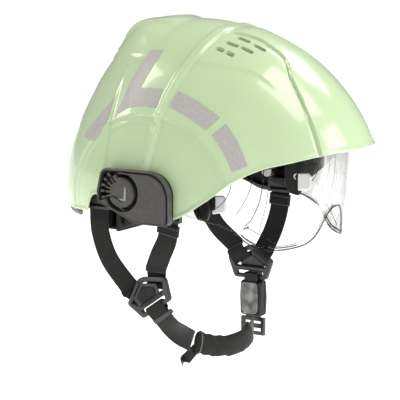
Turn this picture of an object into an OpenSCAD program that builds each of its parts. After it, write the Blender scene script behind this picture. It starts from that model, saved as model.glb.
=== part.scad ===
// Forestry safety helmet with a flip-down visor, side dials, ratchet headband and chin harness.
// Frame: +X front, +Y the wearer's left, +Z up. Origin: centre of the headband, where the head sits.

/* [Shell] */
// Height of the crown above the headband
crown_h = 164; // [155:1:175]
// Reach of the shell towards the front
front_reach = 186; // [180:1:195]
// Reach of the shell towards the rear
rear_reach = 131; // [125:1:138]
// Half of the shell's width
half_width = 114; // [110:1:118]
// Wall thickness of the shell
shell_wall = 3; // [2:0.5:4]

/* [Visor] */
// Reach of the lens in front of the origin
lens_reach = 150; // [145:1:152]
// Thickness of the lens
lens_wall = 2.2; // [1.5:0.1:3]
// Height of the visor's pivots
pivot_z = 8; // [4:1:12]
// Forward place of the visor's pivots
pivot_x = 20; // [16:1:24]

/* [Headgear] */
// Inner length of the headband
band_len = 196; // [180:1:204]
// Inner width of the headband
band_wid = 154; // [140:1:158]
// Pitch radius of the ratchet's pinion
pinion_r = 5; // [4:0.5:6]
// Height of the ratchet above the headband's middle
ratchet_z = -32; // [-36:1:-28]

/* [Harness] */
// Width of the webbing
webbing_w = 20; // [15:1:22]
// Thickness of the webbing
webbing_t = 1.6; // [1:0.1:2]

/* [Hidden] */
$fn = 48;

SHELL_GREEN = [0.74, 0.84, 0.66];
DARK = [0.2, 0.2, 0.2];
BLACK = [0.08, 0.08, 0.08];
PAD_BLACK = [0.12, 0.12, 0.12];
GREY = [0.7, 0.69, 0.69];
PALE = [0.85, 0.85, 0.85];
STEEL = "silver";
RIGHT = -1;
LEFT = 1;

// Height of the shell's lower edge by angle from the front.
rim_line = [[0, 54], [12, 53.5], [28, 50.5], [40, 45.5], [50, 39.5], [59, 28], [68, 9], [75, -5],
    [80, -10], [91, -10], [95, -8], [100, -3.5], [107, 3.5], [112, 7], [116, 3], [120, -11], [138, -13],
    [180, -15]];
// Bulge of the rear spine and back panel by polar station, 0 at the crown and 1 at the equator.
rear_line = [[0, 1], [0.1, 1.008], [0.2, 1.032], [0.29, 1.06], [0.36, 1.036], [0.46, 1.008],
    [0.6, 0.98], [0.75, 0.972], [0.86, 0.985], [1, 1], [1.1, 0.975]];

function clamp01(v) = max(0, min(1, v));
function ease(v) = let (c = clamp01(v)) c * c * (3 - 2 * c);
function unit(v) = v / norm(v);

// A point of the shell: angle a from the front, station t, inset from the outside by w.
function shell_pt(a, t, w = 0) =
    let (reach = cos(a) > 0 ? front_reach : rear_reach,
         back = ease((-cos(a) - 0.15) / 0.6),
         k = 1 + back * (lookup(t, rear_line) - 1),
         r = sin(90 * t))
    [(reach - w) * cos(a) * r * k, (half_width - w) * sin(a) * r * k, (crown_h - w) * cos(90 * t) * k];

// Station where the shell, inset by w, reaches height z.
function station(z, w) = acos(z / (crown_h - w)) / 90;

// Faces of a closed cap: rows of n points from the crown down, outside then inside.
function cap_faces(n, rows) =
    let (inner = n * rows + 1, last = (rows - 1) * n)
    concat(
        [for (i = [0:n - 1]) [0, 1 + (i + 1) % n, 1 + i]],
        [for (j = [0:rows - 2], i = [0:n - 1]) [1 + j * n + i, 1 + j * n + (i + 1) % n, 1 + (j + 1) * n + i]],
        [for (j = [0:rows - 2], i = [0:n - 1])
            [1 + j * n + (i + 1) % n, 1 + (j + 1) * n + (i + 1) % n, 1 + (j + 1) * n + i]],
        [for (i = [0:n - 1]) [inner, inner + 1 + i, inner + 1 + (i + 1) % n]],
        [for (j = [0:rows - 2], i = [0:n - 1])
            [inner + 1 + j * n + i, inner + 1 + (j + 1) * n + i, inner + 1 + j * n + (i + 1) % n]],
        [for (j = [0:rows - 2], i = [0:n - 1])
            [inner + 1 + j * n + (i + 1) % n, inner + 1 + (j + 1) * n + i,
             inner + 1 + (j + 1) * n + (i + 1) % n]],
        [for (i = [0:n - 1]) [1 + last + i, 1 + last + (i + 1) % n, inner + 1 + last + i]],
        [for (i = [0:n - 1])
            [1 + last + (i + 1) % n, inner + 1 + last + (i + 1) % n, inner + 1 + last + i]]);

// A closed slab between two grids of points, each a list of rows.
module slab(outer, inner) {
    rows = len(outer);
    cols = len(outer[0]);
    base = rows * cols;
    rim = concat([for (i = [0:cols - 1]) i], [for (j = [1:rows - 1]) j * cols + cols - 1],
        [for (i = [cols - 2:-1:0]) (rows - 1) * cols + i], [for (j = [rows - 2:-1:1]) j * cols]);
    ring = len(rim);
    polyhedron([for (row = outer, p = row) p, for (row = inner, p = row) p],
        concat([for (j = [0:rows - 2], i = [0:cols - 2], h = [0, 1]) let (a = j * cols + i)
                h == 0 ? [a, a + cols, a + 1] : [a + 1, a + cols, a + cols + 1]],
            [for (j = [0:rows - 2], i = [0:cols - 2], h = [0, 1]) let (a = base + j * cols + i)
                h == 0 ? [a, a + 1, a + cols] : [a + 1, a + cols + 1, a + cols]],
            [for (i = [0:ring - 1], h = [0, 1]) let (a = rim[i], b = rim[(i + 1) % ring])
                h == 0 ? [a, b, base + a] : [b, base + b, base + a]]));
}

// A flat band of width w and thickness t through points p, each with its own width direction.
module band(p, across, w, t) {
    n = len(p);
    step = [for (i = [0:n - 1]) unit(p[min(i + 1, n - 1)] - p[max(i - 1, 0)])];
    side = [for (i = [0:n - 1]) unit(across[i] - (across[i] * step[i]) * step[i])];
    face = [for (i = [0:n - 1]) cross(step[i], side[i])];
    function layer(up) = [for (i = [0:n - 1]) [for (e = [1, -1])
        p[i] + e * side[i] * w / 2 + up * face[i] * t / 2]];
    slab(layer(1), layer(-1));
}

// Points of a smooth curve through p, s steps a span.
function through(p, s) = [for (i = [0:len(p) - 2], k = [0:s - 1]) let (
    u = k / s, a = p[max(i - 1, 0)], b = p[i], c = p[i + 1], d = p[min(i + 2, len(p) - 1)])
    0.5 * (2 * b + (c - a) * u + (2 * a - 5 * b + 4 * c - d) * u * u + (3 * b - a - 3 * c + d) * u * u * u),
    p[len(p) - 1]];

// Oval outline of half axes a, b and superellipse power m.
function oval(a, b, m = 2, n = 72) = [for (i = [0:n - 1]) let (c = cos(i * 360 / n), s = sin(i * 360 / n))
    [sign(c) * a * pow(abs(c), 2 / m), sign(s) * b * pow(abs(s), 2 / m)]];

/* ---------- shell and liner ---------- */

shell_cols = 72;
shell_rows = 15;

module dome(w_out, w_in, rim) {
    function rows(w) = [for (j = [1:shell_rows], i = [0:shell_cols - 1]) let (
        a = i * 360 / shell_cols, m = min(a, 360 - a), t = station(lookup(m, rim), w))
        shell_pt(a, t * j / shell_rows, w)];
    polyhedron(concat([shell_pt(0, 0, w_out)], rows(w_out), [shell_pt(0, 0, w_in)], rows(w_in)),
        cap_faces(shell_cols, shell_rows));
}

// Outline of the side module in X and Z, seen from the wearer's right.
module module_outline(grow = 0) {
    offset(r = grow) hull() {
        translate([-26.5, 26.4]) circle(8);
        translate([-31.8, 12]) circle(6);
        translate([-33, 6]) circle(3.8);
        translate([17.5, 11]) circle(23.5);
        translate([36.5, -9.5]) circle(4.5);
        translate([8, 1]) circle(15.3);
    }
}

// Draws its children, made in X and Z, at y0 and d deep, on one side of the helmet.
module on_side(side, y0, d) {
    translate([0, side > 0 ? y0 + d : -y0, 0]) rotate([90, 0, 0]) linear_extrude(d) children();
}

// How far each side module laps over its hole in the shell.
module_lap = 2.6;
module outer_shell() {
    color(SHELL_GREEN) difference() {
        dome(0, shell_wall, rim_line);
        for (side = [RIGHT, LEFT]) {
            on_side(side, half_width - 18, 30) module_outline(-module_lap);
            for (row = [0:2], k = [0, 1])
                vent(side, row, k);
        }
    }
}

// One ventilation slot in the crown: three rows on each side, two slots a row.
vent_first = [59, 27];
vent_pitch = [15, 11];
vent_wid = 4.4;
vent_half = 5;
vent_rake = 4;
module vent(side, row, k) {
    x = vent_first[0] + vent_pitch[0] * k - vent_rake * row;
    y = vent_first[1] + vent_pitch[1] * row;
    translate([x, side * y, 120]) rotate([0, 0, -side * vent_rake]) hull() for (e = [-1, 1])
        translate([e * (vent_half - row), 0, 0]) cylinder(d = vent_wid, h = 50);
}

// Rubber lip under the shell's rear edge.
trim_from = 128;
trim_step = 2;
trim_wall = 4;
trim_drop = 6;
module rear_edge_trim() {
    angles = [for (a = [trim_from:trim_step:360 - trim_from]) a];
    function edge(a, w, dz) = let (m = min(a, 360 - a), p = shell_pt(a, station(lookup(m, rim_line), w), w))
        [p[0], p[1], lookup(m, rim_line) + dz];
    color(DARK) slab(
        [for (a = angles) [edge(a, 0.4, -1), edge(a, 1.4, -trim_drop)]],
        [for (a = angles) [edge(a, trim_wall + 1, -1), edge(a, trim_wall + 1, -trim_drop)]]);
}

// Lower edge of the impact liner by angle from the front.
liner_line = [[0, 62], [45, 58], [75, 48], [110, 40], [180, 26]];
liner_gap = 22;
liner_wall = 12;
liner_cols = 60;
liner_rows = 12;
// The liner follows the shell, drawn in more at the front, where the peak stands clear of the head.
liner_front = 0.84;
liner_rear = 0.96;
module impact_liner() {
    function pt(a, t, w) = let (p = shell_pt(a, t, w))
        [p[0] * (cos(a) > 0 ? liner_front : liner_rear), p[1] * 0.99, p[2] - 1];
    function rows(w) = [for (j = [1:liner_rows], i = [0:liner_cols - 1]) let (
        a = i * 360 / liner_cols, m = min(a, 360 - a), t = station(lookup(m, liner_line), w))
        pt(a, t * j / liner_rows, w)];
    inside = liner_gap + liner_wall;
    color(DARK) polyhedron(
        concat([pt(0, 0, liner_gap)], rows(liner_gap), [pt(0, 0, inside)], rows(inside)),
        cap_faces(liner_cols, liner_rows));
}

/* ---------- head suspension ---------- */

// The head suspension rises towards the front.
band_rise = 0.28;
band_lift = 13.4;
module risen() {
    multmatrix([[1, 0, 0, 0], [0, 1, 0, 0], [band_rise, 0, 1, band_lift], [0, 0, 0, 1]]) children();
}

crown_pad_at = [4, 0, 82.4];
crown_pad_half = [34, 26];
crown_pad_t = 6;
module crown_pad() {
    color(BLACK) risen() translate(crown_pad_at) linear_extrude(crown_pad_t)
        polygon(oval(crown_pad_half[0], crown_pad_half[1], 2.6));
}

// Arch over the head: half span a, height h, drawn in the plane of its own span.
arch_w = 18;
arch_foot = 22.2;
module arch(a, h) {
    intersection() {
        translate([0, 0, -arch_w / 2]) linear_extrude(arch_w) difference() {
            polygon(oval(a, h, 2.3));
            polygon(oval(a - webbing_t, h - webbing_t, 2.3));
        }
        translate([-a, arch_foot, -arch_w]) cube([2 * a, h, 2 * arch_w]);
    }
}
cross_arch = [74.2, 95.2];
long_arch = [88, 97.3];
module crown_straps() {
    // two webbing arches over the head, the long one over the short one
    color(BLACK) risen() {
        translate([6, 0, 0]) rotate([90, 0, 90]) arch(cross_arch[0], cross_arch[1]);
        translate([4, 0, 0]) rotate([90, 0, 0]) arch(long_arch[0], long_arch[1]);
    }
}

clip_w = 22;
clip_z = [13.6, 22];
module strap_clips() {
    // clips that carry the arches' ends on the headband
    module clip(x0, x1, y0, y1) {
        translate([x0, y0, clip_z[0]]) cube([x1 - x0, y1 - y0, clip_z[1] - clip_z[0]]);
    }
    color(DARK) risen() {
        clip(-5, clip_w - 5, 72, 81.2);
        clip(-5, clip_w - 5, -81.2, -72);
        clip(88.5, 104.1, -clip_w / 2, clip_w / 2);
        clip(-104, -83, -clip_w / 2, clip_w / 2);
    }
}

band_h = 21;
band_low = -8;
band_t = 2.4;
// Space between the padded inside and the headband's own inner face.
band_gap = [6.6, 4.6];
band_power = 2.25;
module band_outline(grow) {
    polygon(oval(band_len / 2 + band_gap[0] + grow, band_wid / 2 + band_gap[1] + grow, band_power));
}
module headband() {
    color(BLACK) risen() difference() {
        translate([0, 0, band_low]) linear_extrude(band_h) difference() {
            band_outline(band_t);
            band_outline(0);
        }
        // the lower rear is left open for the nape cradle
        translate([-130, -54, -20]) cube([60, 108, 22]);
    }
}

brow_h = 19;
brow_low = -7;
brow_from = 50;
module brow_pad() {
    color(PAD_BLACK) risen() intersection() {
        translate([0, 0, brow_low]) linear_extrude(brow_h) difference() {
            band_outline(-0.2);
            polygon(oval(band_len / 2, band_wid / 2 - 1, band_power));
        }
        translate([brow_from, -60, -brow_h]) cube([80, 120, 2 * brow_h]);
    }
}

hanger = [16, 20.4, 16];
hanger_wall = 3;
hanger_at = [-33, 84.6, -2];
module side_hangers() {
    // brackets that carry the headband from the shell
    color(DARK) for (side = [RIGHT, LEFT])
        translate([hanger_at[0], side > 0 ? hanger_at[1] : -hanger_at[1] - hanger[1], hanger_at[2]])
            difference() {
                cube(hanger);
                translate([hanger_wall, -1, hanger_wall])
                    cube([hanger[0] - 2 * hanger_wall, hanger[1] + 10, hanger[2] - 2 * hanger_wall]);
            }
}

nape_x = -82;
cradle = [3, 56, 27];
cradle_x = nape_x + 4.6;
post_w = 8;
post_y = 12;
post_top = [-101.2, -9.6];
module nape_cradle() {
    color(DARK) difference() {
        union() {
            translate([cradle_x, -cradle[1] / 2, ratchet_z - 11]) cube(cradle);
            // posts that slope up to the headband
            for (side = [-1, 1]) translate([0, side * post_y - post_w / 2, 0]) hull() {
                translate([post_top[0], 0, post_top[1]]) cube([3, post_w, 8]);
                translate([cradle_x, 0, ratchet_z + 15]) cube([3, post_w, 5]);
            }
        }
        translate([nape_x, 0, ratchet_z]) rotate([0, 90, 0]) cylinder(d = screw_d, h = 20);
    }
}

nape_pad_size = [6, 50, 20];
module nape_pad() {
    color(PAD_BLACK) translate([nape_x + 8, -nape_pad_size[1] / 2, ratchet_z - nape_pad_size[2] / 2])
        cube(nape_pad_size);
}

screw_d = 3;
screw_head_d = 6;
screw_head_t = 1.4;
cover_size = [13.2, 36, 23.2];
cover_slot = [9.5, 60, 18.8];
module ratchet_cover() {
    color(BLACK) difference() {
        translate([nape_x - 9, -cover_size[1] / 2, ratchet_z - cover_size[2] / 2]) cube(cover_size);
        translate([nape_x - 7, -cover_slot[1] / 2, ratchet_z - cover_slot[2] / 2]) cube(cover_slot);
        translate([nape_x - 20, 0, ratchet_z]) rotate([0, 90, 0]) cylinder(d = 9, h = 40);
    }
}

module ratchet_screw() {
    color(STEEL) translate([nape_x - 19, 0, ratchet_z]) rotate([0, 90, 0]) {
        cylinder(d = screw_d, h = 26.6);
        translate([0, 0, -screw_head_t]) cylinder(d = screw_head_d, h = screw_head_t);
    }
}

wheel_r = 13;
wheel_t = 8;
wheel_flutes = 20;
teeth = 10;
// Turning wheel outside the cover, on one shaft with the pinion between the racks.
module ratchet_wheel() {
    color(DARK) translate([nape_x, 0, ratchet_z]) rotate([0, 90, 0]) difference() {
        union() {
            translate([0, 0, -18]) linear_extrude(wheel_t) difference() {
                circle(wheel_r);
                for (i = [0:wheel_flutes - 1]) rotate(i * 360 / wheel_flutes)
                    translate([wheel_r + 0.6, 0]) circle(1.6, $fn = 16);
            }
            translate([0, 0, -10]) cylinder(d = 8.2, h = 3.4);
            translate([0, 0, -6.6]) linear_extrude(7.6) {
                circle(pinion_r - 1.4);
                for (i = [0:teeth - 1]) rotate(i * 360 / teeth)
                    polygon([[2, -0.9], [pinion_r + 0.4, -0.4], [pinion_r + 0.4, 0.4], [2, 0.9]]);
            }
        }
        translate([0, 0, -30]) cylinder(d = screw_d + 0.1, h = 60);
    }
}

// Rack of one side, side +1 above the pinion from the left, -1 below it from the right.
rack = [3, 46, 3];
rack_end = 34;
lug_w = 8;
module band_tail(side) {
    // distance from the shaft to the rack's near face, just outside the teeth
    clear = pinion_r + 0.8;
    color(BLACK) translate([nape_x - 5, 0, ratchet_z]) {
        translate([0, side > 0 ? rack_end - rack[1] : -rack_end, side > 0 ? clear : -clear - rack[2]])
            cube(rack);
        // end lug that carries on into the headband's sleeve
        translate([0, side > 0 ? rack_end - lug_w : -rack_end, side > 0 ? clear + rack[2] : -clear])
            cube([rack[0], lug_w, side > 0 ? 5 : 2 * clear + 8]);
    }
}
module band_tail_right() { band_tail(RIGHT); }
module band_tail_left() { band_tail(LEFT); }

/* ---------- visor ---------- */

lens_edge_y = 92;
// Lower edge of the lens by distance from the middle: nose arch, cheek lobes, then up to the temples.
lens_low = [[0, -2], [7, -3], [14, -10], [22, -24], [32, -33], [46, -37], [58, -38], [68, -36],
    [75, -29], [80, -20], [85, -15], [92, -10]];
lens_top = [[0, 58], [40, 54], [70, 44], [92, 34]];
function lens_pt(y, z, w) = let (
    lean = z > pivot_z ? 0.04 * (z - pivot_z) : 0.14 * (z - pivot_z), reach = lens_reach + lean - w)
    [reach * sqrt(1 - pow(y / (100.4 - w), 2)), y * (1 - w / 400), z];
module visor_lens() {
    function grid(w) = [for (j = [0:8]) [for (i = [-23:23]) let (
        y = i * lens_edge_y / 23, low = lookup(abs(y), lens_low), top = lookup(abs(y), lens_top))
        lens_pt(y, low + (top - low) * j / 8, w)]];
    color([0.85, 0.9, 0.92, 0.35]) slab(grid(lens_wall), grid(0));
}

arm_y = 93;
arm_t = 2.6;
module visor_arm(side) {
    color(PALE) difference() {
        on_side(side, arm_y, arm_t) hull() {
            translate([pivot_x, pivot_z]) circle(9);
            translate([54, -4]) circle(5);
            translate([54, 28]) circle(5);
        }
        translate([pivot_x, 0, pivot_z]) rotate([90, 0, 0]) cylinder(d = 6.1, h = 300, center = true);
    }
}
module visor_arm_right() { visor_arm(RIGHT); }
module visor_arm_left() { visor_arm(LEFT); }

// Fitting inside each temple: a plate with a boss to the arm, a web, and the guide that holds the lens.
module lens_bracket(side) {
    color(DARK) union() {
        on_side(side, 82.5, 4.5) polygon([[45, 0], [50, -10], [61, -12], [64, -4], [62, 22], [54, 26], [45, 18]]);
        on_side(side, 86.5, 6.3) translate([45.4, 3]) square([5.2, 11]);
        on_side(side, 80, 3) translate([59, -2]) square([8, 12]);
        on_side(side, 77, 3.5) polygon([[63, -6], [77, -3], [77, 9], [74, 12], [63, 11]]);
    }
}
module lens_bracket_right() { lens_bracket(RIGHT); }
module lens_bracket_left() { lens_bracket(LEFT); }

module visor_pivots() {
    color(STEEL) for (side = [RIGHT, LEFT]) translate([pivot_x, side * 92, pivot_z])
        rotate([side * -90, 0, 0]) {
            translate([0, 0, -1]) cylinder(d = 11, h = 1.8);
            cylinder(d = 6, h = 13);
            translate([0, 0, 4]) cylinder(d = 12, h = 5);
        }
}

/* ---------- side modules ---------- */

dial_x = -10.2;
dial_z = 13.2;
dial_r = 14;
rim_w = 5.2;
shaft_d = 5;
// Distances from the middle plane: bezel's back, its rim, the cover's back and its face.
bezel_y = 105;
bezel_rim_y = 115.4;
bezel_top_y = 119.4;
well_y = 113.4;
cover_y = 109.2;
cover_top_y = 120.6;
module module_bezel(side) {
    color(BLACK) difference() {
        union() {
            on_side(side, bezel_y, bezel_rim_y + 0.2 - bezel_y) module_outline(-3);
            on_side(side, bezel_rim_y, bezel_top_y - bezel_rim_y) module_outline(0);
        }
        on_side(side, cover_y - 0.2, 20) module_outline(-rim_w);
        on_side(side, well_y, 20) translate([dial_x, dial_z]) circle(dial_r + 0.6);
        translate([dial_x, 0, dial_z]) rotate([90, 0, 0]) cylinder(d = shaft_d, h = 300, center = true);
    }
}
module module_bezel_right() { module_bezel(RIGHT); }
module module_bezel_left() { module_bezel(LEFT); }

module module_cover(side) {
    color(DARK) difference() {
        on_side(side, cover_y, cover_top_y - cover_y) module_outline(-rim_w - 0.3);
        on_side(side, 113.7, 9) translate([dial_x, dial_z]) circle(dial_r + 0.6);
        translate([dial_x, 0, dial_z]) rotate([90, 0, 0]) cylinder(d = shaft_d, h = 300, center = true);
    }
}
module module_cover_right() { module_cover(RIGHT); }
module module_cover_left() { module_cover(LEFT); }

module side_dial(side) {
    color(DARK) translate([dial_x, side * 114, dial_z]) rotate([side * -90, 0, 0]) difference() {
        union() {
            cylinder(r = dial_r, h = 6.4);
            translate([0, 0, 6.4]) cylinder(r1 = dial_r, r2 = dial_r - 1.6, h = 1.6, $fn = 48);
            translate([0, 0, -8]) cylinder(d = shaft_d - 0.1, h = 8);
        }
        // finger grooves
        for (i = [0:4]) rotate(150 + i * 20) translate([dial_r - 3, 0, 3])
            linear_extrude(10) square([9, 2.2], center = true);
        translate([0, 0, -9]) cylinder(d = 2.2, h = 12);
    }
}
module side_dial_right() { side_dial(RIGHT); }
module side_dial_left() { side_dial(LEFT); }

module dial_screws() {
    color(STEEL) for (side = [RIGHT, LEFT]) translate([dial_x, side * 104.4, dial_z])
        rotate([side * -90, 0, 0]) {
            cylinder(d = 2.1, h = 10);
            translate([0, 0, -1.2]) cylinder(d = 7, h = 1.2);
        }
}

/* ---------- reflective pieces ---------- */

// A sheet lying on the shell over a quad of [angle, station] corners, split n by m.
module sticker(side, q, n = 4, m = 4) {
    function at(u, v) = (q[0] * (1 - u) + q[1] * u) * (1 - v) + (q[3] * (1 - u) + q[2] * u) * v;
    function grid(w) = [for (j = [0:m]) [for (i = [0:n]) let (s = at(i / n, j / m))
        shell_pt(side * s[0], s[1], w)]];
    if (side > 0) slab(grid(-0.9), grid(-0.5)); else slab(grid(-0.5), grid(-0.9));
}

module reflectors(side) {
    color(GREY) {
        sticker(side, [[103, 0.365], [91, 0.355], [95.2, 0.555], [104, 0.555]]);
        sticker(side, [[104, 0.56], [84, 0.555], [85, 0.632], [106, 0.665]]);
        sticker(side, [[78, 0.555], [62, 0.655], [67, 0.705], [81, 0.625]]);
        sticker(side, [[60, 0.68], [54, 0.83], [59, 0.855], [65, 0.725]]);
        sticker(side, [[111.5, 0.605], [109.5, 0.7], [118, 0.785], [129, 0.775]]);
    }
}
module reflectors_right() { reflectors(RIGHT); }
module reflectors_left() { reflectors(LEFT); }

/* ---------- harness ---------- */

front_anchor = [30, 101.5, -6];
rear_anchor = [-56, 88.5, -3];
// Middle of each strap divider, and how far the right one has rolled as it hangs.
divider_at = [2, 92, -85];
roll_right = 35;

function flip(side, v) = [v[0], side * v[1], v[2]];

// Bracket with a slot for the webbing, fixed inside the shell's edge.
module anchor(at, side) {
    color(DARK) on_side(side, at[1] - 2.4, 4.8) translate([at[0], at[2]]) difference() {
        translate([-13, -7]) square([26, 14]);
        translate([-10.6, -4.6]) square([21.2, 3]);
    }
}
module front_anchors() { for (side = [RIGHT, LEFT]) anchor(front_anchor, side); }
module rear_anchors() { for (side = [RIGHT, LEFT]) anchor(rear_anchor, side); }

module webbing(side, route, across) {
    color(BLACK) band(through([for (p = route) flip(side, p)], 5), through(across, 5), webbing_w, webbing_t);
}
module front_webbing_right() {
    webbing(RIGHT, [[30, 101.5, -15], [27, 100, -30], [18, 97, -46], [9.8, 93.2, -62]],
        [[1, 0, 0], [1, 0, 0.1], [1, 0, 0.2], [1, 0, 0.11]]);
}
module rear_webbing_right() {
    webbing(RIGHT, [[-56, 88.5, -12.8], [-53, 90.5, -32], [-42, 92, -56], [-19.5, 92, -80.5]],
        [[1, 0, 0.1], [0.95, 0, 0.35], [0.8, 0, 0.6], [0.41, 0, 0.91]]);
}
module front_webbing_left() {
    webbing(LEFT, [[30, 101.5, -15], [29, 100, -32], [24, 97, -52], [17.2, 93, -70]],
        [[1, 0, 0], [1, 0, -0.1], [1, 0, -0.3], [0.88, 0, -0.48]]);
}
module rear_webbing_left() {
    webbing(LEFT, [[-56, 88.5, -12.8], [-51, 90.5, -30], [-37, 92, -52], [-16, 92, -69.5]],
        [[1, 0, 0.1], [0.95, 0, 0.35], [0.86, 0, 0.51], [0.84, 0, 0.54]]);
}

// Five-sided strap divider in X and Z about its own middle.
divider_shape = [[-26, 4], [-3, 17.5], [3, 17.5], [26, 4], [19, -16], [-18, -16]];
module on_divider(side, y0, d) {
    translate([divider_at[0], 0, divider_at[2]])
        on_side(side, divider_at[1] + y0, d) rotate(side < 0 ? roll_right : 0) children();
}
module divider(side) {
    color(DARK) {
        on_divider(side, -2.4, 4.8) difference() {
            polygon(divider_shape);
            offset(delta = -4.4) polygon(divider_shape);
        }
        on_divider(side, -1.6, 3.2) translate([-17, -7.6]) square([34, 3]);
    }
}
module divider_right() { divider(RIGHT); }
module divider_left() { divider(LEFT); }

// Raised lock covers on the dividers' outer faces.
module divider_locks() {
    color(BLACK) for (side = [RIGHT, LEFT])
        on_divider(side, 2.5, 2.6) polygon([[-16, 4], [0, 13], [16, 4], [13, -7], [-12, -7]]);
}

// Chin strap from the right divider's lower bar, round the chin, to the left buckle.
chin_route = [[14, -91, -102], [17, -80, -115], [19, -63, -127], [21, -48, -135]];
chin_across = [[1, 0, 0.6], [0.8, 0, 0.6], [0.3, 0, 0.9], [0, 0, 1]];
pad_route = [[21.6, -46, -136], [27, -18, -145], [29, 10, -149], [26, 38, -150], [18, 64, -147]];
pad_across = [[-0.1, 0, 1], [-0.2, 0, 1], [-0.3, 0, 1], [-0.2, 0, 1], [-0.1, 0, 1]];
tail_route = [[17.3, 65.6, -147], [13, 76, -147], [9, 85, -147.5]];
module chin_webbing() {
    color(BLACK) {
        band(through(chin_route, 5), through(chin_across, 5), webbing_w, webbing_t);
        band(through(tail_route, 3), [for (i = [0:6]) [0, 0, 1]], webbing_w - 3, webbing_t);
    }
}
module chin_pad() {
    color(BLACK) band(through(pad_route, 5), through(pad_across, 5), 25, 7);
}

// Places its children at the buckle, which hangs under the left divider.
module at_buckle() {
    translate([5, 92, -118]) children();
}
module lower_ladder() {
    color(DARK) at_buckle() difference() {
        translate([-13, -2, -39.5]) cube([26, 4, 17.6]);
        translate([-9.6, -5, -28.6]) cube([19.2, 10, 3.2]);
        translate([-9.6, -5, -36.4]) cube([19.2, 10, 4]);
    }
}
module buckle_tongue() {
    color(DARK) at_buckle() {
        translate([-8, -1.5, -21.85]) cube([16, 3, 4]);
        translate([-3.4, -1.5, -17.85]) cube([6.8, 3, 7]);
    }
}
body_wall = 2.4;
module buckle_body() {
    color(DARK) at_buckle() difference() {
        union() {
            translate([-11.5, -7, -20]) cube([23, 14, 35.6]);
            // loop over the divider's lower bar
            for (y = [-6.6, 2.8]) translate([-7, y, 15]) cube([14, 3.8, 8.8]);
            translate([-7, -6.6, 21.7]) cube([14, 13.2, 2.1]);
        }
        translate([-8.6, -7 + body_wall, -21]) cube([17.2, 14 - 2 * body_wall, 33]);
        translate([-7.2, 3, -10]) cube([14.4, 6, 16]);
    }
}
module buckle_plate() {
    color([0.55, 0.55, 0.55]) at_buckle() translate([-9, -8.2, -17]) cube([18, 1.1, 31]);
}
module buckle_button() {
    color([0.35, 0.35, 0.35]) at_buckle() {
        translate([-6.9, 1.2, -9.7]) cube([13.8, 6.9, 15.4]);
        translate([-7.9, 1.2, -9.7]) cube([15.8, 3, 15.4]);
    }
}
module button_spring() {
    color(STEEL) at_buckle() translate([0, -4.5, -2]) rotate([-90, 0, 0])
        difference() {
            cylinder(d = 6, h = 5.6);
            translate([0, 0, -1]) cylinder(d = 4.4, h = 8);
        }
}

outer_shell();
rear_edge_trim();
impact_liner();
crown_pad();
crown_straps();
strap_clips();
headband();
brow_pad();
side_hangers();
nape_cradle();
nape_pad();
ratchet_cover();
ratchet_screw();
ratchet_wheel();
band_tail_right();
band_tail_left();
visor_lens();
visor_arm_right();
visor_arm_left();
visor_pivots();
module_bezel_right();
module_bezel_left();
module_cover_right();
module_cover_left();
side_dial_right();
side_dial_left();
dial_screws();
reflectors_right();
reflectors_left();
front_anchors();
rear_anchors();
front_webbing_right();
rear_webbing_right();
front_webbing_left();
rear_webbing_left();
divider_right();
divider_left();
divider_locks();
chin_webbing();
chin_pad();
lower_ladder();
buckle_tongue();
buckle_body();
buckle_plate();
buckle_button();
button_spring();
lens_bracket_right();
lens_bracket_left();
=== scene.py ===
"""Forestry helmet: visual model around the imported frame. Metres, +X front, +Y wearer's left, +Z up."""
import math

import bmesh
import bpy
import numpy as np
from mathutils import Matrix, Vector
from mathutils.geometry import convex_hull_2d, delaunay_2d_cdt, tessellate_polygon


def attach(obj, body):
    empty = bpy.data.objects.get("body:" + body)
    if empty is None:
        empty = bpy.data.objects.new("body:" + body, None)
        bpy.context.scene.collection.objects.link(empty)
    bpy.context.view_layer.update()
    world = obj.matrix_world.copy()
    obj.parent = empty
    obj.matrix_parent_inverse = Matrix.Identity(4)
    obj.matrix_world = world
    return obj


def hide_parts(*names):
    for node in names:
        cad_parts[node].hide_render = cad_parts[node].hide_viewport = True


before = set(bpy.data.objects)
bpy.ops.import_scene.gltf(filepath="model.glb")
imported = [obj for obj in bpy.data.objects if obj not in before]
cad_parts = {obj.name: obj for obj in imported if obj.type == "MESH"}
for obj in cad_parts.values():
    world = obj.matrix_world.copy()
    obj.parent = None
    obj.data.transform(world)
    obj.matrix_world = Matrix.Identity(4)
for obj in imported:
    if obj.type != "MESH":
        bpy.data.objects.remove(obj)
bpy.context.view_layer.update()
MM = 0.001
RIGHT, LEFT = -1, 1
SIDES = ((RIGHT, "right"), (LEFT, "left"))


# ---------- numbers and curves ----------

def cubic(table):
    """A smooth curve through (x, y) pairs that never overshoots them."""
    x, y = (np.array(column, float) for column in zip(*table))
    slope = np.diff(y) / np.diff(x)
    m = np.concatenate([[slope[0]], (slope[1:] + slope[:-1]) / 2, [slope[-1]]])
    for i, s in enumerate(slope):
        if s == 0:
            m[i] = m[i + 1] = 0
        else:
            m[i] = np.clip(m[i] / s, 0, 3) * s
            m[i + 1] = np.clip(m[i + 1] / s, 0, 3) * s

    def at(v):
        v = np.clip(v, x[0], x[-1])
        i = np.clip(np.searchsorted(x, v) - 1, 0, len(x) - 2)
        h = x[i + 1] - x[i]
        u = (v - x[i]) / h
        return ((2 * u**3 - 3 * u**2 + 1) * y[i] + (u**3 - 2 * u**2 + u) * h * m[i]
                + (3 * u**2 - 2 * u**3) * y[i + 1] + (u**3 - u**2) * h * m[i + 1])
    return at


def ease(low, high, v):
    u = np.clip((v - low) / (high - low), 0, 1)
    return u * u * (3 - 2 * u)


def line(offset, width):
    """Height of a fine line at some distance from its middle."""
    return np.exp(-((offset / width) ** 2))


def unit(v):
    return v / np.maximum(np.linalg.norm(v, axis=-1, keepdims=True), 1e-9)


def turns(count):
    """Angles of equal steps round a circle."""
    return np.arange(count) * 2 * math.pi / count


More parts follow.
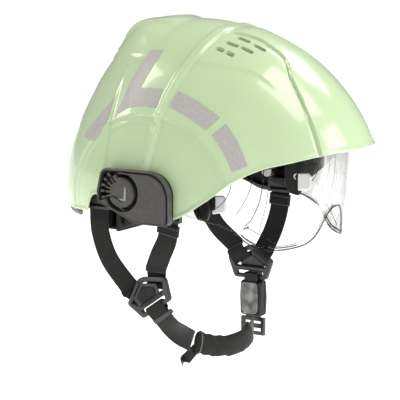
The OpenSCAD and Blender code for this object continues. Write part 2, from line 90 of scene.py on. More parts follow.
def round_off(u, size, power):
    """Part of a rounded section: u is the cosine or the sine, size the whole width."""
    return np.sign(u) * np.abs(u) ** (2 / power) * size / 2


def run_length(points):
    """Distance along points, from 0 at the first."""
    return np.concatenate([[0], np.cumsum(np.linalg.norm(np.diff(points, axis=0), axis=1))])


def spread_round(loop, count):
    """A closed outline as equally spaced points."""
    closed = np.vstack([loop, loop[:1]])
    run = run_length(closed)
    at = np.linspace(0, run[-1], count, endpoint=False)
    return np.stack([np.interp(at, run, closed[:, 0]), np.interp(at, run, closed[:, 1])], -1)


def through(points, steps):
    """Points of a smooth curve through the given ones."""
    p = np.array(points, float)
    p = np.vstack([2 * p[0] - p[1], p, 2 * p[-1] - p[-2]])
    out = []
    for i in range(1, len(p) - 2):
        for u in np.arange(steps) / steps:
            a, b, c, d = p[i - 1:i + 3]
            out.append(0.5 * (2 * b + (c - a) * u + (2 * a - 5 * b + 4 * c - d) * u * u
                              + (3 * b - a - 3 * c + d) * u**3))
    out.append(p[-2])
    return np.array(out)


# ---------- mesh helpers ----------

def ring_faces(rows, cols):
    return [(j * cols + i, j * cols + (i + 1) % cols, (j + 1) * cols + (i + 1) % cols, (j + 1) * cols + i)
            for j in range(rows - 1) for i in range(cols)]


def end_caps(rows, cols):
    return [tuple(range(cols - 1, -1, -1)), tuple((rows - 1) * cols + i for i in range(cols))]


def placed(name, mesh):
    obj = bpy.data.objects.new(name, mesh)
    bpy.context.scene.collection.objects.link(obj)
    return obj


def shade_smooth(obj):
    obj.data.polygons.foreach_set("use_smooth", [True] * len(obj.data.polygons))


def mesh_piece(name, verts, faces, material, smooth=True, uvs=None):
    """An outward facing mesh object from points in millimetres."""
    mesh = bpy.data.meshes.new(name)
    mesh.from_pydata([tuple(v) for v in np.asarray(verts, float) * MM], [], [tuple(f) for f in faces])
    mesh.validate()
    if uvs is not None:
        layer = mesh.uv_layers.new(name="span")
        flat = np.array([uvs[v] for v in (loop.vertex_index for loop in mesh.loops)], float)
        layer.data.foreach_set("uv", flat.ravel())
    mesh.materials.append(material)
    mesh.polygons.foreach_set("use_smooth", [smooth] * len(mesh.polygons))
    bm = bmesh.new()
    bm.from_mesh(mesh)
    bmesh.ops.recalc_face_normals(bm, faces=bm.faces)
    bm.to_mesh(mesh)
    bm.free()
    return placed(name, mesh)


def mark_sharp(obj, degrees):
    """Keeps edges sharper than this angle crisp under smooth shading."""
    bm = bmesh.new()
    bm.from_mesh(obj.data)
    limit = math.radians(degrees)
    for e in bm.edges:
        e.smooth = len(e.link_faces) == 2 and e.calc_face_angle(0) < limit
    bm.to_mesh(obj.data)
    bm.free()


def apply_modifiers(obj):
    """Bakes the object's modifiers into its mesh."""
    graph = bpy.context.evaluated_depsgraph_get()
    graph.update()
    mesh = bpy.data.meshes.new_from_object(obj.evaluated_get(graph))
    obj.modifiers.clear()
    obj.data = mesh


def merged(name, pieces):
    """Joins pieces into one object that keeps each one's material."""
    materials, bm = [], bmesh.new()
    for piece in pieces:
        for material in piece.data.materials:
            if material not in materials:
                materials.append(material)
        remap = [materials.index(m) for m in piece.data.materials]
        before = len(bm.faces)
        bm.from_mesh(piece.data)
        bm.faces.ensure_lookup_table()
        for f in bm.faces[before:]:
            f.material_index = remap[f.material_index]
        bpy.data.objects.remove(piece)
    mesh = bpy.data.meshes.new(name)
    bm.to_mesh(mesh)
    bm.free()
    for material in materials:
        mesh.materials.append(material)
    return placed(name, mesh)


def ride(obj, body, *nodes, slot=None):
    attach(obj, body)
    if nodes:
        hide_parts(*nodes)
    return obj


# ---------- materials ----------

def link(tree, source, target):
    tree.links.new(source, target)


def add(tree, kind, **values):
    """A new node. Each value sets or feeds the input of that name, or sets a property."""
    node = tree.nodes.new("ShaderNode" + kind)
    for key, value in values.items():
        socket = node.inputs.get(key.replace("_", " "))
        if socket is None:
            setattr(node, key, value)
        elif isinstance(value, bpy.types.NodeSocket):
            link(tree, value, socket)
        elif isinstance(value, tuple):
            socket.default_value = (*value, 1)
        else:
            socket.default_value = value
    return node


def calc(tree, operation, *values, clamp=False):
    node = add(tree, "Math", operation=operation, use_clamp=clamp)
    for socket, value in zip(node.inputs, values):
        if isinstance(value, bpy.types.NodeSocket):
            link(tree, value, socket)
        else:
            socket.default_value = value
    return node.outputs["Value"]


def ramp(tree, source, low, high, low_at=0.0, high_at=1.0):
    """Maps a 0 to 1 value onto two colours."""
    node = add(tree, "ValToRGB", Fac=source)
    for stop, position, colour in zip(node.color_ramp.elements, (low_at, high_at), (low, high)):
        stop.position, stop.color = position, (*colour, 1)
    return node.outputs["Color"]


def mixed_shader(tree, share, first, second):
    node = add(tree, "MixShader", Fac=share)
    link(tree, first.outputs[0], node.inputs[1])
    link(tree, second.outputs[0], node.inputs[2])
    return node


def blank_material(name):
    """A material with an empty tree, and its object coordinates."""
    material = bpy.data.materials.new(name)
    material.use_nodes = True
    tree = material.node_tree
    tree.nodes.clear()
    return material, tree, add(tree, "TexCoord").outputs["Object"]


def finish_tree(tree, shader, kind="OutputMaterial"):
    link(tree, shader.outputs[0], add(tree, kind).inputs["Surface"])


def surface(name, low, high, rough, scale=60, bump=0.1, bump_scale=900, distance=0.0002, coat=0.0,
            rough_spread=0.06, sheen=0.0, metal=0.0, edge=0.0, specular=0.5, glow=0.0):
    """A plastic, rubber or metal with drifting colour, uneven gloss and a fine grain. On the polished black of
    the buckle badge the drifting colour is painted reflection.
    """
    material, tree, place = blank_material(name)
    drift = add(tree, "TexNoise", Scale=scale, Detail=4.0, Vector=place).outputs["Fac"]
    gloss = add(tree, "MapRange", To_Min=max(0.02, rough - rough_spread), To_Max=rough + rough_spread,
                Value=drift)
    grain = add(tree, "TexNoise", Scale=bump_scale, Detail=3.0, Vector=place)
    relief = add(tree, "Bump", Strength=bump, Distance=distance, Height=grain.outputs["Fac"])
    if edge:
        soft = add(tree, "Bevel", samples=4, Radius=edge)
        link(tree, soft.outputs["Normal"], relief.inputs["Normal"])
    shader = add(tree, "BsdfPrincipled", Metallic=metal, Coat_Weight=coat, Coat_Roughness=0.06,
                 Sheen_Weight=sheen, Specular_IOR_Level=specular, Emission_Color=(1, 1, 1),
                 Emission_Strength=glow, Base_Color=ramp(tree, drift, low, high, 0.35, 0.65),
                 Roughness=gloss.outputs["Result"], Normal=relief.outputs["Normal"])
    finish_tree(tree, shader)
    return material


def woven(name, dark, light, along=1.15, across=1.6):
    """Webbing: rows of ribs across the strap and yarns along it, from UVs in millimetres."""
    material, tree, place = blank_material(name)
    span = add(tree, "SeparateXYZ", Vector=add(tree, "UVMap", uv_map="span").outputs["UV"]).outputs

    def wave(source, pitch):
        return calc(tree, "SINE", calc(tree, "MULTIPLY", source, 2 * math.pi / pitch))

    ribs, yarns = wave(span["X"], along), wave(span["Y"], across)
    height = calc(tree, "ADD", calc(tree, "MULTIPLY", ribs, yarns), ribs)
    level = add(tree, "MapRange", From_Min=-2.0, From_Max=2.0, Value=height).outputs["Result"]
    fuzz = add(tree, "TexNoise", Scale=140.0, Detail=5.0, Vector=place).outputs["Fac"]
    # colour follows the weave height mixed with random fuzz: the valleys between ribs and yarns are darker as
    # painted shade
    fuzz_and_weave_shade = add(tree, "Mix", data_type="FLOAT", Factor=0.35, A=level, B=fuzz).outputs[0]
    relief = add(tree, "Bump", Strength=0.7, Distance=0.00025, Height=level)
    shader = add(tree, "BsdfPrincipled", Roughness=0.72, Sheen_Weight=0.35, Sheen_Roughness=0.4,
                 Specular_IOR_Level=0.25, Base_Color=ramp(tree, fuzz_and_weave_shade, dark, light, 0.25, 0.75),
                 Normal=relief.outputs["Normal"])
    finish_tree(tree, shader)
    return material


def clear_plastic(name, tint, edge_tint):
    """Thin clear moulding: light goes straight through, less so where it is seen on edge."""
    material, tree, _ = blank_material(name)
    facing = add(tree, "LayerWeight", Blend=0.25).outputs["Facing"]
    through_it = add(tree, "BsdfTransparent", Color=ramp(tree, facing, tint, edge_tint, 0.35, 1.0))
    haze = add(tree, "TexNoise", Scale=35.0, Detail=2.0)
    ripple = add(tree, "Bump", Strength=0.05, Distance=0.0005, Height=haze.outputs["Fac"])
    shine = add(tree, "BsdfGlossy", Roughness=0.03, Color=(1, 1, 1), Normal=ripple.outputs["Normal"])
    # no mirror where it is seen face on, so that dark parts behind it stay clean
    mirror = calc(tree, "MULTIPLY_ADD", add(tree, "Fresnel", IOR=1.42).outputs["Fac"], 0.5, -0.027,
                  clamp=True)
    finish_tree(tree, mixed_shader(tree, mirror, through_it, shine))
    return material


def bead_foam():
    """Expanded foam: packed cells a few millimetres across."""
    material, tree, place = blank_material("bead_foam")
    cells = add(tree, "TexVoronoi", Scale=320.0, Vector=place).outputs["Distance"]
    relief = add(tree, "Bump", Strength=0.5, Distance=0.0005, invert=True, Height=cells)
    shader = add(tree, "BsdfPrincipled", Roughness=0.7, Normal=relief.outputs["Normal"],
                 # colour darkens from each bead's middle to the recessed borders between beads: painted shade
                 Base_Color=ramp(tree, cells, (0.07, 0.07, 0.075), (0.03, 0.03, 0.032), 0.2, 0.7))
    finish_tree(tree, shader)
    return material


def grey(level):
    return (level, level, level)


SHELL = surface("shell_gloss", (0.455, 0.59, 0.36), (0.485, 0.62, 0.385), 0.24, scale=9, bump=0.03,
                bump_scale=400, coat=0.6, rough_spread=0.03)
# dark grey for the shell's inner faces: painted shade inside the shell and down its vents
SHELL_INSIDE_SHADE = surface("shell_inside_painted_shade", (0.10, 0.105, 0.10), (0.14, 0.145, 0.14), 0.5, scale=25, bump=0.15,
                       bump_scale=500)
REFLECTOR = surface("reflective_sheet", (0.36, 0.345, 0.345), (0.44, 0.425, 0.425), 0.42, scale=700,
                    bump=0.25, bump_scale=1500, distance=0.0001)
MODULE = surface("moulded_dark_grey", (0.046, 0.044, 0.044), (0.06, 0.058, 0.058), 0.42, scale=120,
                 bump=0.12, bump_scale=1400)
DIAL_GREY = surface("dial_grey", (0.046, 0.044, 0.044), (0.062, 0.06, 0.06), 0.46, scale=200, bump=0.15,
                    bump_scale=1300, edge=0.0004)
PLASTIC = surface("fine_spark_black", grey(0.009), grey(0.018), 0.42, scale=150, bump=0.2,
                  bump_scale=1200, edge=0.0005, specular=0.25)
FRAME_GREY = surface("acetal_frame", (0.028, 0.028, 0.03), (0.045, 0.045, 0.047), 0.36, scale=110,
                     bump=0.12, bump_scale=1000, edge=0.0004)
# polished black for the buckle badge, its colour mottled from black up to mid grey: the grey mottles are
# painted reflections
GLOSSY_PAINTED_REFLECTION = surface("polished_black_painted_reflections", grey(0.02), grey(0.26), 0.14, scale=85, bump=0.05, bump_scale=200,
                 coat=0.5)
TRIM = surface("edge_rubber", grey(0.16), grey(0.22), 0.55, scale=90, bump=0.2)
STEEL = surface("machined_steel", grey(0.5), grey(0.62), 0.28, scale=300, bump=0.1, metal=1.0)
WHITE = surface("white_guide", grey(0.93), grey(0.97), 0.4, scale=60, bump=0.05, edge=0.0005)
FOAM_CLOTH = surface("pad_cloth", grey(0.006), grey(0.016), 0.85, scale=420, bump=0.6, bump_scale=800,
                     distance=0.0003, sheen=0.08, specular=0.25)
PIPING = surface("pad_piping", grey(0.11), grey(0.2), 0.6, scale=500, bump=0.4)
THREAD = surface("thread", grey(0.12), grey(0.18), 0.6, scale=900, bump=0.4)
# light grey of the raised pointer on each dial: a painted highlight on its edges
POINTER_HIGHLIGHT = surface("pointer_painted_highlight", grey(0.24), grey(0.32), 0.45, scale=120, bump=0.1)
WEBBING = woven("webbing_weave", grey(0.002), (0.013, 0.012, 0.012))
LENS = clear_plastic("lens_clear", grey(0.98), (0.88, 0.885, 0.885))
FROSTED = clear_plastic("frosted_arm", (0.84, 0.84, 0.845), grey(0.6))
# dark grey clear tint for the rolled edges and moulded lines: painted darkness in place of the light these
# clear edges bend away
LENS_LINE_PAINTED_DARK = clear_plastic("lens_rim_painted_dark", (0.42, 0.43, 0.43), grey(0.12))
FOAM = bead_foam()


# ---------- shell ----------

FRONT, REAR, HALF, CROWN, WALL = 186.0, 131.0, 114.0, 164.0, 3.0
# height of the rim by angle from the front, and how far the rear bulges by station
rim_at = cubic([(0, 54), (12, 53.5), (28, 50.5), (40, 45.5), (50, 39.5), (59, 28), (68, 9), (75, -5),
                (80, -10), (91, -10), (95, -8), (100, -3.5), (107, 3.5), (112, 7), (116, 3), (120, -11),
                (138, -13), (180, -15)])
bulge_at = cubic([(0, 1), (0.1, 1.008), (0.2, 1.032), (0.29, 1.06), (0.36, 1.036), (0.46, 1.008),
                  (0.6, 0.98), (0.75, 0.972), (0.86, 0.985), (1, 1), (1.1, 0.975)])
# where the rib, the raised middle band and the side line run
rib_at = cubic([(-20, 8), (33, 9.5), (63, 14), (83, 17), (100, 21), (128, 30), (144, 35.5), (160, 41)])
band_at = cubic([(30, 26), (50, 23), (66, 18), (77, 16.3), (90, 18.5), (105, 22), (110, 26), (116, 32),
                 (126, 37.5), (141, 43.5), (158, 49), (190, 56)])
side_line_at = cubic([(20, 130), (36, 129), (63, 126.5), (90, 121.5), (104, 114), (117, 104), (135, 86)])
# X, Z and radius of the moulded arch round the side module
ARCH = (5.0, -7.0, 90.5)
# start in X and Z and direction of the fine moulded line above the side module
SLANT = (18.6, 34.2, 0.665)


def base_point(a, t, inset=0.0):
    """A point of the plain dome: a in degrees from the front, t from crown 0 to equator 1."""
    c, s = np.cos(np.radians(a)), np.sin(np.radians(a))
    reach = np.where(c > 0, FRONT, REAR) - inset
    back = ease(0.15, 0.75, -c)
    k = 1 + back * (bulge_at(t) - 1)
    r = np.sin(t * math.pi / 2)
    high = (CROWN - inset) * np.cos(t * math.pi / 2)
    return np.stack([reach * c * r * k, (HALF - inset) * s * r * k, high * k], -1)


def base_normal(a, t):
    da = base_point(a + 0.2, t) - base_point(a - 0.2, t)
    dt = base_point(a, t + 0.002) - base_point(a, np.maximum(t - 0.002, 0.0005))
    n = unit(np.cross(da, dt))
    return n * np.sign((n * base_point(a, t)).sum(-1, keepdims=True) + 1e-9)


def relief(p, rim_gap):
    """Height in millimetres that the moulded lines add to the dome."""
    x, y, z = p[..., 0], np.abs(p[..., 1]), p[..., 2]
    off = x - rib_at(z)
    width = 4.2 + 2.2 * ease(90, 150, z)
    rib = 2.4 * ease(width, width - 2.6, np.abs(off)) * ease(2, 30, y)
    past_arch = np.hypot(x - ARCH[0], z - ARCH[1]) - ARCH[2]
    flank = ease(60, 80, y)
    inside = ease(1.6, -1.6, past_arch) * flank
    inner = ease(-6.4, -8.2, past_arch) * flank
    panel = ease(-35.2, -39.2, x) * ease(128, 96, z) * ease(-12, 30, z)
    upper = ease(-1.5, 1.8, z - side_line_at(x)) * ease(32, 40, x) * ease(118, 96, x)
    upper = upper * ease(152, 138, z) * ease(12, 26, y)
    edge = band_at(x) - y
    raised = ease(-0.4, 1.4, edge) * ease(46, 60, x)
    groove = line(edge + 0.6, 0.95) * ease(46, 54, x)
    rim_line = line(past_arch, 0.9) * flank
    across, up = x - SLANT[0], z - SLANT[1]
    off_slant = across * math.sin(SLANT[2]) - up * math.cos(SLANT[2]) + 0.0018 * (across - 20) ** 2
    slant = line(off_slant, 0.8) * ease(-2, 2, across) * ease(46, 42, across) * flank
    spine = ease(31, 24, y) * ease(-2, -24, x) * ease(-71, -64, x)
    step_one = ease(134.2, 132.0, z) * ease(-16, -30, x) * ease(60, 100, z)
    step_two = ease(126.6, 124.6, z) * ease(-34, -44, x) * ease(60, 100, z)
    lip = ease(3.4, 1.6, rim_gap)
    return (rib - 1.3 * inside - 0.8 * inner + 1.7 * panel + 1.1 * upper + 1.9 * raised - 1.3 * groove
            + 0.9 * rim_line + 0.8 * slant + 2.6 * spine - 1.0 * step_one - 0.9 * step_two + 0.8 * lip)


def station(z, inset=0.0):
    return np.degrees(np.arccos(np.clip(z / (CROWN - inset), -1, 1))) / 90


def shell_point(a, t, lift=0.0):
    """A point of the finished outer surface, lifted off it by some millimetres."""
    p = base_point(a, t)
    m = np.abs((np.asarray(a, float) + 180) % 360 - 180)
    gap = np.abs(p[..., 2] - rim_at(m))
    return p + base_normal(a, t) * (relief(p, gap) + lift)[..., None]


MODULE_DISCS = [(-26.5, 26.4, 8), (-31.8, 12, 6), (-33, 6, 3.8), (17.5, 11, 23.5), (36.5, -9.5, 4.5),
                (8, 1, 15.3)]


def module_outline(inset=0.0, count=160):
    """Outline of the side module in X and Z round its discs, anticlockwise, drawn in by an inset."""
    cloud = set()
    for x, z, r in MODULE_DISCS:
        for u in np.linspace(0, 2 * math.pi, 90, endpoint=False):
            cloud.add((round(x + (r - inset) * math.cos(u), 6), round(z + (r - inset) * math.sin(u), 6)))
    cloud = sorted(cloud)

    def half(points):
        chain = []
        for p in points:
            while len(chain) > 1 and ((chain[-1][0] - chain[-2][0]) * (p[1] - chain[-2][1])
                                      - (chain[-1][1] - chain[-2][1]) * (p[0] - chain[-2][0])) <= 0:
                chain.pop()
            chain.append(p)
        return chain[:-1]

    return spread_round(np.array(half(cloud) + half(cloud[::-1])), count)


def cutter(outline, low, high, place):
    """A closed prism over an outline between two heights, for cutting."""
    n = len(outline)
    verts = [place(u, v, height) for height in (low, high) for u, v in outline]
    faces = [tuple(range(n)), tuple(range(2 * n - 1, n - 1, -1))]
    faces += [(i, i + n, (i + 1) % n + n, (i + 1) % n) for i in range(n)]
    return mesh_piece("cutter", verts, faces, SHELL)


def vent_outline(x, y, length, width=4.6):
    """A slot with round ends in X and Y."""
    half = length / 2 - width / 2
    return [(x + math.copysign(half, math.cos(u)) + width / 2 * math.cos(u), y + width / 2 * math.sin(u))
            for u in turns(24)]


# X, Y and length of each crown vent on one side
VENTS = [(64.5, 27, 14), (81.5, 28, 14), (59, 39, 14), (74, 38, 14), (52.5, 49.5, 9.5), (63, 49.5, 9.5)]


def make_shell():
    cols, rows, inner_rows = 512, 165, 20
    a = np.arange(cols) * 360 / cols
    m = np.abs((a + 180) % 360 - 180)
    rim = rim_at(m)
    t_rim = station(rim)
    levels = (np.arange(1, rows + 1) / rows)[:, None]
    grid = [shell_point(np.broadcast_to(a, (rows, cols)), levels * t_rim)]
    edge_out = grid[0][-1]
    edge_in = base_point(a, station(rim, WALL), WALL)
    grid.append(((edge_out * 0.75 + edge_in * 0.25) - [0, 0, 0.7])[None])
    grid.append(((edge_out * 0.25 + edge_in * 0.75) - [0, 0, 0.7])[None])
    back = (np.arange(inner_rows, 0, -1) / inner_rows)[:, None]
    grid.append(base_point(np.broadcast_to(a, (inner_rows, cols)), back * station(rim, WALL), WALL))
    verts = np.concatenate(grid).reshape(-1, 3)
    total = rows + 2 + inner_rows
    faces = ring_faces(total, cols)
    top, low = len(verts), len(verts) + 1
    crown = shell_point(np.array([0.0]), np.array([0.0001]))[0]
    verts = np.vstack([verts, [[0, 0, crown[2]]], [[0, 0, CROWN - WALL]]])
    faces += [(top, (i + 1) % cols, i) for i in range(cols)]
    last = (total - 1) * cols
    faces += [(low, last + i, last + (i + 1) % cols) for i in range(cols)]
    shell = mesh_piece("shell_moulding", verts, faces, SHELL)
    cutters = []
    for side, _ in SIDES:
        cutters.append(cutter(module_outline(2.6), side * 96, side * 126, lambda x, z, y: (x, y, z)))
        cutters += [cutter(vent_outline(x, side * y, length), 118, 172, lambda x, y, z: (x, y, z))
                    for x, y, length in VENTS]
    tool = merged("cutters", cutters)
    cut = shell.modifiers.new("cut", "BOOLEAN")
    cut.operation = "DIFFERENCE"
    cut.solver = "EXACT"
    cut.object = tool
    apply_modifiers(shell)
    bpy.data.objects.remove(tool)
    shade_smooth(shell)
    mark_sharp(shell, 40)
    # faces that look inwards take the dark grey, painted shade inside the shell
    shell.data.materials.append(SHELL_INSIDE_SHADE)
    for poly in shell.data.polygons:
        x, y, z = poly.center
        inwards = -(poly.normal.x * x + poly.normal.y * y + poly.normal.z * max(z, 0.02))
        if inwards > 0.5 * Vector((x, y, max(z, 0.02))).length:
            poly.material_index = 1
    ride(shell, "helmet", "outer_shell", slot="shell")


# outlines as angle from the front and station, in order round each patch
PATCHES = {
    "corner": [(103, 0.365), (91, 0.355), (95.6, 0.553), (84.3, 0.55), (85.4, 0.63), (92, 0.628), (99, 0.64),
               (106.6, 0.672), (104.9, 0.55)],
    "arc_top": [(77.8, 0.557), (70, 0.594), (62, 0.656), (67, 0.704), (73.5, 0.658), (80.3, 0.622)],
    "arc_front": [(60, 0.68), (56.4, 0.75), (54, 0.83), (59, 0.853), (61.4, 0.784), (65, 0.722)],
    "rear": [(111.5, 0.603), (109.8, 0.695), (118, 0.785), (129, 0.775), (119.4, 0.686)],
}


# corners that each smooth edge of a patch runs through
PATCH_EDGES = {
    "corner": [[0, 1], [1, 2], [2, 3], [3, 4], [4, 5, 6, 7], [7, 8, 0]],
    "arc_top": [[0, 1, 2], [2, 3], [3, 4, 5], [5, 0]],
    "arc_front": [[0, 1, 2], [2, 3], [3, 4, 5], [5, 0]],
    "rear": [[0, 1], [1, 2], [2, 3], [3, 4, 0]],
}


def patch_outline(key):
    """A patch's outline with its long edges curved through their corners."""
    out = []
    for edge in PATCH_EDGES[key]:
        out += [tuple(v) for v in through([PATCHES[key][i] for i in edge], 16)[:-1]]
    return out


def fill_grid(outline, step):
    """Points and triangles that fill an outline in angle and station."""
    scale = [1.0, 100.0]
    path = np.array(outline) * scale
    low, high = path.min(0), path.max(0)
    points = [Vector(v) for v in path]
    n = len(path)
    sides = [(*a, *b) for a, b in zip(path.tolist(), np.roll(path, -1, 0).tolist())]
    for x in np.arange(low[0] + step[0] / 2, high[0], step[0]):
        for y in np.arange(low[1] + step[1] / 2, high[1], step[1]):
            inside = False
            for x0, y0, x1, y1 in sides:
                if (y0 > y) != (y1 > y) and x < (x1 - x0) * (y - y0) / (y1 - y0) + x0:
                    inside = not inside
            if inside:
                points.append(Vector((x, y)))
    border = [(i, (i + 1) % n) for i in range(n)]
    verts, _, faces, *_ = delaunay_2d_cdt(points, border, [list(range(n))], 1, 1e-5)
    return np.array([v[:] for v in verts]) / scale, [tuple(f) for f in faces]


def make_reflectors():
    """Thin stuck-on sheets that follow the shell."""
    for side, word in SIDES:
        for key in PATCHES:
            flat, faces = fill_grid(patch_outline(key), (0.5, 0.6))
            k = len(flat)
            edges = {}
            for face in faces:
                for edge in zip(face, face[1:] + face[:1]):
                    edges.setdefault(tuple(sorted(edge)), []).append(edge)
            rim = [found[0] for found in edges.values() if len(found) == 1]
            walls = [(b, a, a + k, b + k) for a, b in rim]
            faces = faces + [tuple(k + f for f in face[::-1]) for face in faces] + walls
            verts = np.vstack([shell_point(side * flat[:, 0], flat[:, 1], lift) for lift in (0.4, 0.05)])
            sheet = mesh_piece(f"reflector_{word}_{key}", verts, faces, REFLECTOR)
            mark_sharp(sheet, 50)
            ride(sheet, "helmet", slot="reflector")
        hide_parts(f"reflectors_{word}")


def make_trim():
    """Rubber lip under the shell's rear edge."""
    a = np.linspace(127, 233, 140)
    m = np.minimum(a, 360 - a)
    rim = rim_at(m)
    outer = base_point(a, station(rim - 2))
    inner = base_point(a, station(rim, WALL + 1.6), WALL + 1.6)
    rows = []
    for across, drop in ((0.02, -0.4), (0.05, -3.0), (0.25, -5.2), (0.6, -5.8), (0.9, -4.6), (1.0, -0.6)):
        rows.append(outer * (1 - across) + inner * across)
        rows[-1][:, 2] = rim + drop
    verts = np.stack(rows, 1).reshape(-1, 3)
    faces = ring_faces(len(a), len(rows)) + end_caps(len(a), len(rows))
    ride(mesh_piece("rear_lip", verts, faces, TRIM), "helmet", "rear_edge_trim", slot="trim")


def make_liner():
    """Foam liner with a rounded lower edge and shallow cooling channels inside."""
    cols, rows = 192, 48
    low_at = cubic([(0, 62), (45, 58), (75, 48), (110, 40), (180, 26)])
    a = np.arange(cols) * 360 / cols
    m = np.abs((a + 180) % 360 - 180)

    def sheet(inset, count, flip=False, channels=False):
        t_end = station(low_at(m), inset)
        level = (np.arange(1, count + 1) / count)[:, None]
        p = base_point(np.broadcast_to(a, (count, cols)), level * t_end, inset)
        p = p * np.where(np.cos(np.radians(a)) > 0, 0.84, 0.96)[None, :, None] * [1, 0, 0] + p * [0, 0.99, 1]
        p[..., 2] -= 1
        if channels:
            groove = np.maximum(0, np.cos(np.radians(a) * 6)) ** 8
            p = p * (1 + 0.03 * (groove * ease(0.15, 0.35, level) * ease(1, 0.85, level))[..., None])
        return p[::-1] if flip else p

    outer = sheet(22, rows)
    inner = sheet(34, rows, flip=True, channels=True)
    edge = ((outer[-1] + inner[0]) / 2 - [0, 0, 2.5])[None]
    verts = np.concatenate([outer, edge, inner]).reshape(-1, 3)
    total = 2 * rows + 1
    faces = ring_faces(total, cols)
    verts = np.vstack([verts, [[0, 0, CROWN - 23]], [[0, 0, CROWN - 35]]])
    top, low = len(verts) - 2, len(verts) - 1
    faces += [(top, (i + 1) % cols, i) for i in range(cols)]
    faces += [(low, (total - 1) * cols + i, (total - 1) * cols + (i + 1) % cols) for i in range(cols)]
    ride(mesh_piece("foam_liner", verts, faces, FOAM), "helmet", "impact_liner", slot="liner")


# ---------- plates, straps and tubes ----------

def inset_loop(loop, d):
    """A closed anticlockwise outline moved inwards by d along its corners' mitres."""
    p = np.asarray(loop, float)
    before, after = p - np.roll(p, 1, 0), np.roll(p, -1, 0) - p
    n1 = unit(np.stack([-before[:, 1], before[:, 0]], -1))
    n2 = unit(np.stack([-after[:, 1], after[:, 0]], -1))
    dot = 1 + (n1 * n2).sum(-1, keepdims=True)
    return p + np.asarray(d, float).reshape(-1, 1) * (n1 + n2) / np.maximum(dot, 0.5)


def rounded_loop(corners, radius, steps=5):
    """A closed outline with its corners rounded."""
    p = np.asarray(corners, float)
    out = []
    for i, c in enumerate(p):
        before, after = p[i - 1] - c, p[(i + 1) % len(p)] - c
        reach = min(radius, 0.45 * np.linalg.norm(before), 0.45 * np.linalg.norm(after))
        a, b = c + unit(before) * reach, c + unit(after) * reach
        for u in np.arange(steps + 1) / steps:
            out.append((1 - u)**2 * a + 2 * u * (1 - u) * c + u * u * b)
    return np.array(out)


def rounded_box(x0, z0, x1, z1, radius):
    return rounded_loop([(x0, z0), (x1, z0), (x1, z1), (x0, z1)], radius)


def circle_loop(x, z, r, count=64):
    return np.stack([x + r * np.cos(turns(count)), z + r * np.sin(turns(count))], -1)


def plate(outer, low, high, chamfer, material, place, holes=(), name="plate"):
    """A flat plate with holes and chamfered edges. place turns (x, z, height) rows into world points."""
    verts, faces, caps = [], [], [[], []]
    for loop, sign in [(outer, 1)] + [(hole, -1) for hole in holes]:
        n, start = len(loop), len(verts)
        levels = ((chamfer, low), (0, low + chamfer), (0, high - chamfer), (chamfer, high))
        for depth, height in levels:
            verts += [(x, z, height) for x, z in inset_loop(loop, sign * depth)]
        faces += [tuple(start + v for v in face) for face in ring_faces(len(levels), n)]
        caps[0].append(range(start, start + n))
        caps[1].append(range(start + 3 * n, start + 4 * n))
    for loops in caps:
        order = [i for ring in loops for i in ring]
        rings = [[Vector((verts[i][0], verts[i][1], 0)) for i in ring] for ring in loops]
        faces += [tuple(order[i] for i in tri) for tri in tessellate_polygon(rings)]
    return mesh_piece(name, place(np.array(verts, float)), faces, material, smooth=False)


def side_place(side):
    """World points for plates that lie along one side: height is the distance from the middle."""
    return lambda v: np.stack([v[:, 0], side * v[:, 2], v[:, 1]], -1)


def frames_along(points, across):
    p = np.asarray(points, float)
    step = unit(np.gradient(p, axis=0))
    a = np.asarray(across, float)
    side = unit(a - (a * step).sum(-1, keepdims=True) * step)
    return p, step, side, np.cross(step, side)


def same_way(direction, count):
    """One direction, repeated for every point of a strap."""
    return np.tile(np.array(direction, float), (count, 1))


def strap(name, points, across, width, thick, material=WEBBING, powers=(9.0, 5.0), count=20, crown=1.0):
    """Flat webbing or a long pad through points in millimetres, with UVs in millimetres."""
    p, _, side, face = frames_along(points, across)
    half = round_off(np.cos(turns(count)), width, powers[0])
    rise = round_off(np.sin(turns(count)), thick, powers[1]) * np.reshape(crown, (-1, 1))
    verts = p[:, None] + side[:, None] * half[None, :, None] + face[:, None] * rise[..., None]
    shape = (len(p), count)
    uvs = np.stack([np.broadcast_to(run_length(p)[:, None], shape), np.broadcast_to(half, shape)], -1)
    faces = ring_faces(*shape) + end_caps(*shape)
    return mesh_piece(name, verts.reshape(-1, 3), faces, material, uvs=uvs.reshape(-1, 2))


def tube(points, radius, material, count=8, closed=False, name="tube"):
    """A round bead through points in millimetres."""
    p = np.asarray(points, float)
    step = unit(np.roll(p, -1, 0) - np.roll(p, 1, 0)) if closed else unit(np.gradient(p, axis=0))
    side = unit(np.cross(step, np.array([0.13, 0.21, 0.97])))
    up = np.cross(step, side)
    c, s = np.cos(turns(count))[None, :, None], np.sin(turns(count))[None, :, None]
    verts = p[:, None] + radius * (side[:, None] * c + up[:, None] * s)
    faces = ring_faces(len(p), count)
    if closed:
        last = (len(p) - 1) * count
        faces += [(last + i, last + (i + 1) % count, (i + 1) % count, i) for i in range(count)]
    else:
        faces += end_caps(len(p), count)
    return mesh_piece(name, verts.reshape(-1, 3), faces, material)


# ---------- side modules ----------

# middle of the dial in X and Z, the radius of its well, and the angles of its finger fins
DIAL = (-10.2, 13.2)
WELL = 17.9
FINS = (131, 148, 164, 180, 196)
DIAL_FACE, DIAL_BASE = 121.0, 112.2


def module_ring(inset, below):
    """Module outline drawn in by one amount, and by another along its underside."""
    loop = module_outline()
    along = np.roll(loop, -1, 0) - np.roll(loop, 1, 0)
    facing_down = along[:, 0] / np.linalg.norm(along, axis=1)
    return inset_loop(loop, inset + (below - inset) * ease(0.5, 0.85, facing_down))


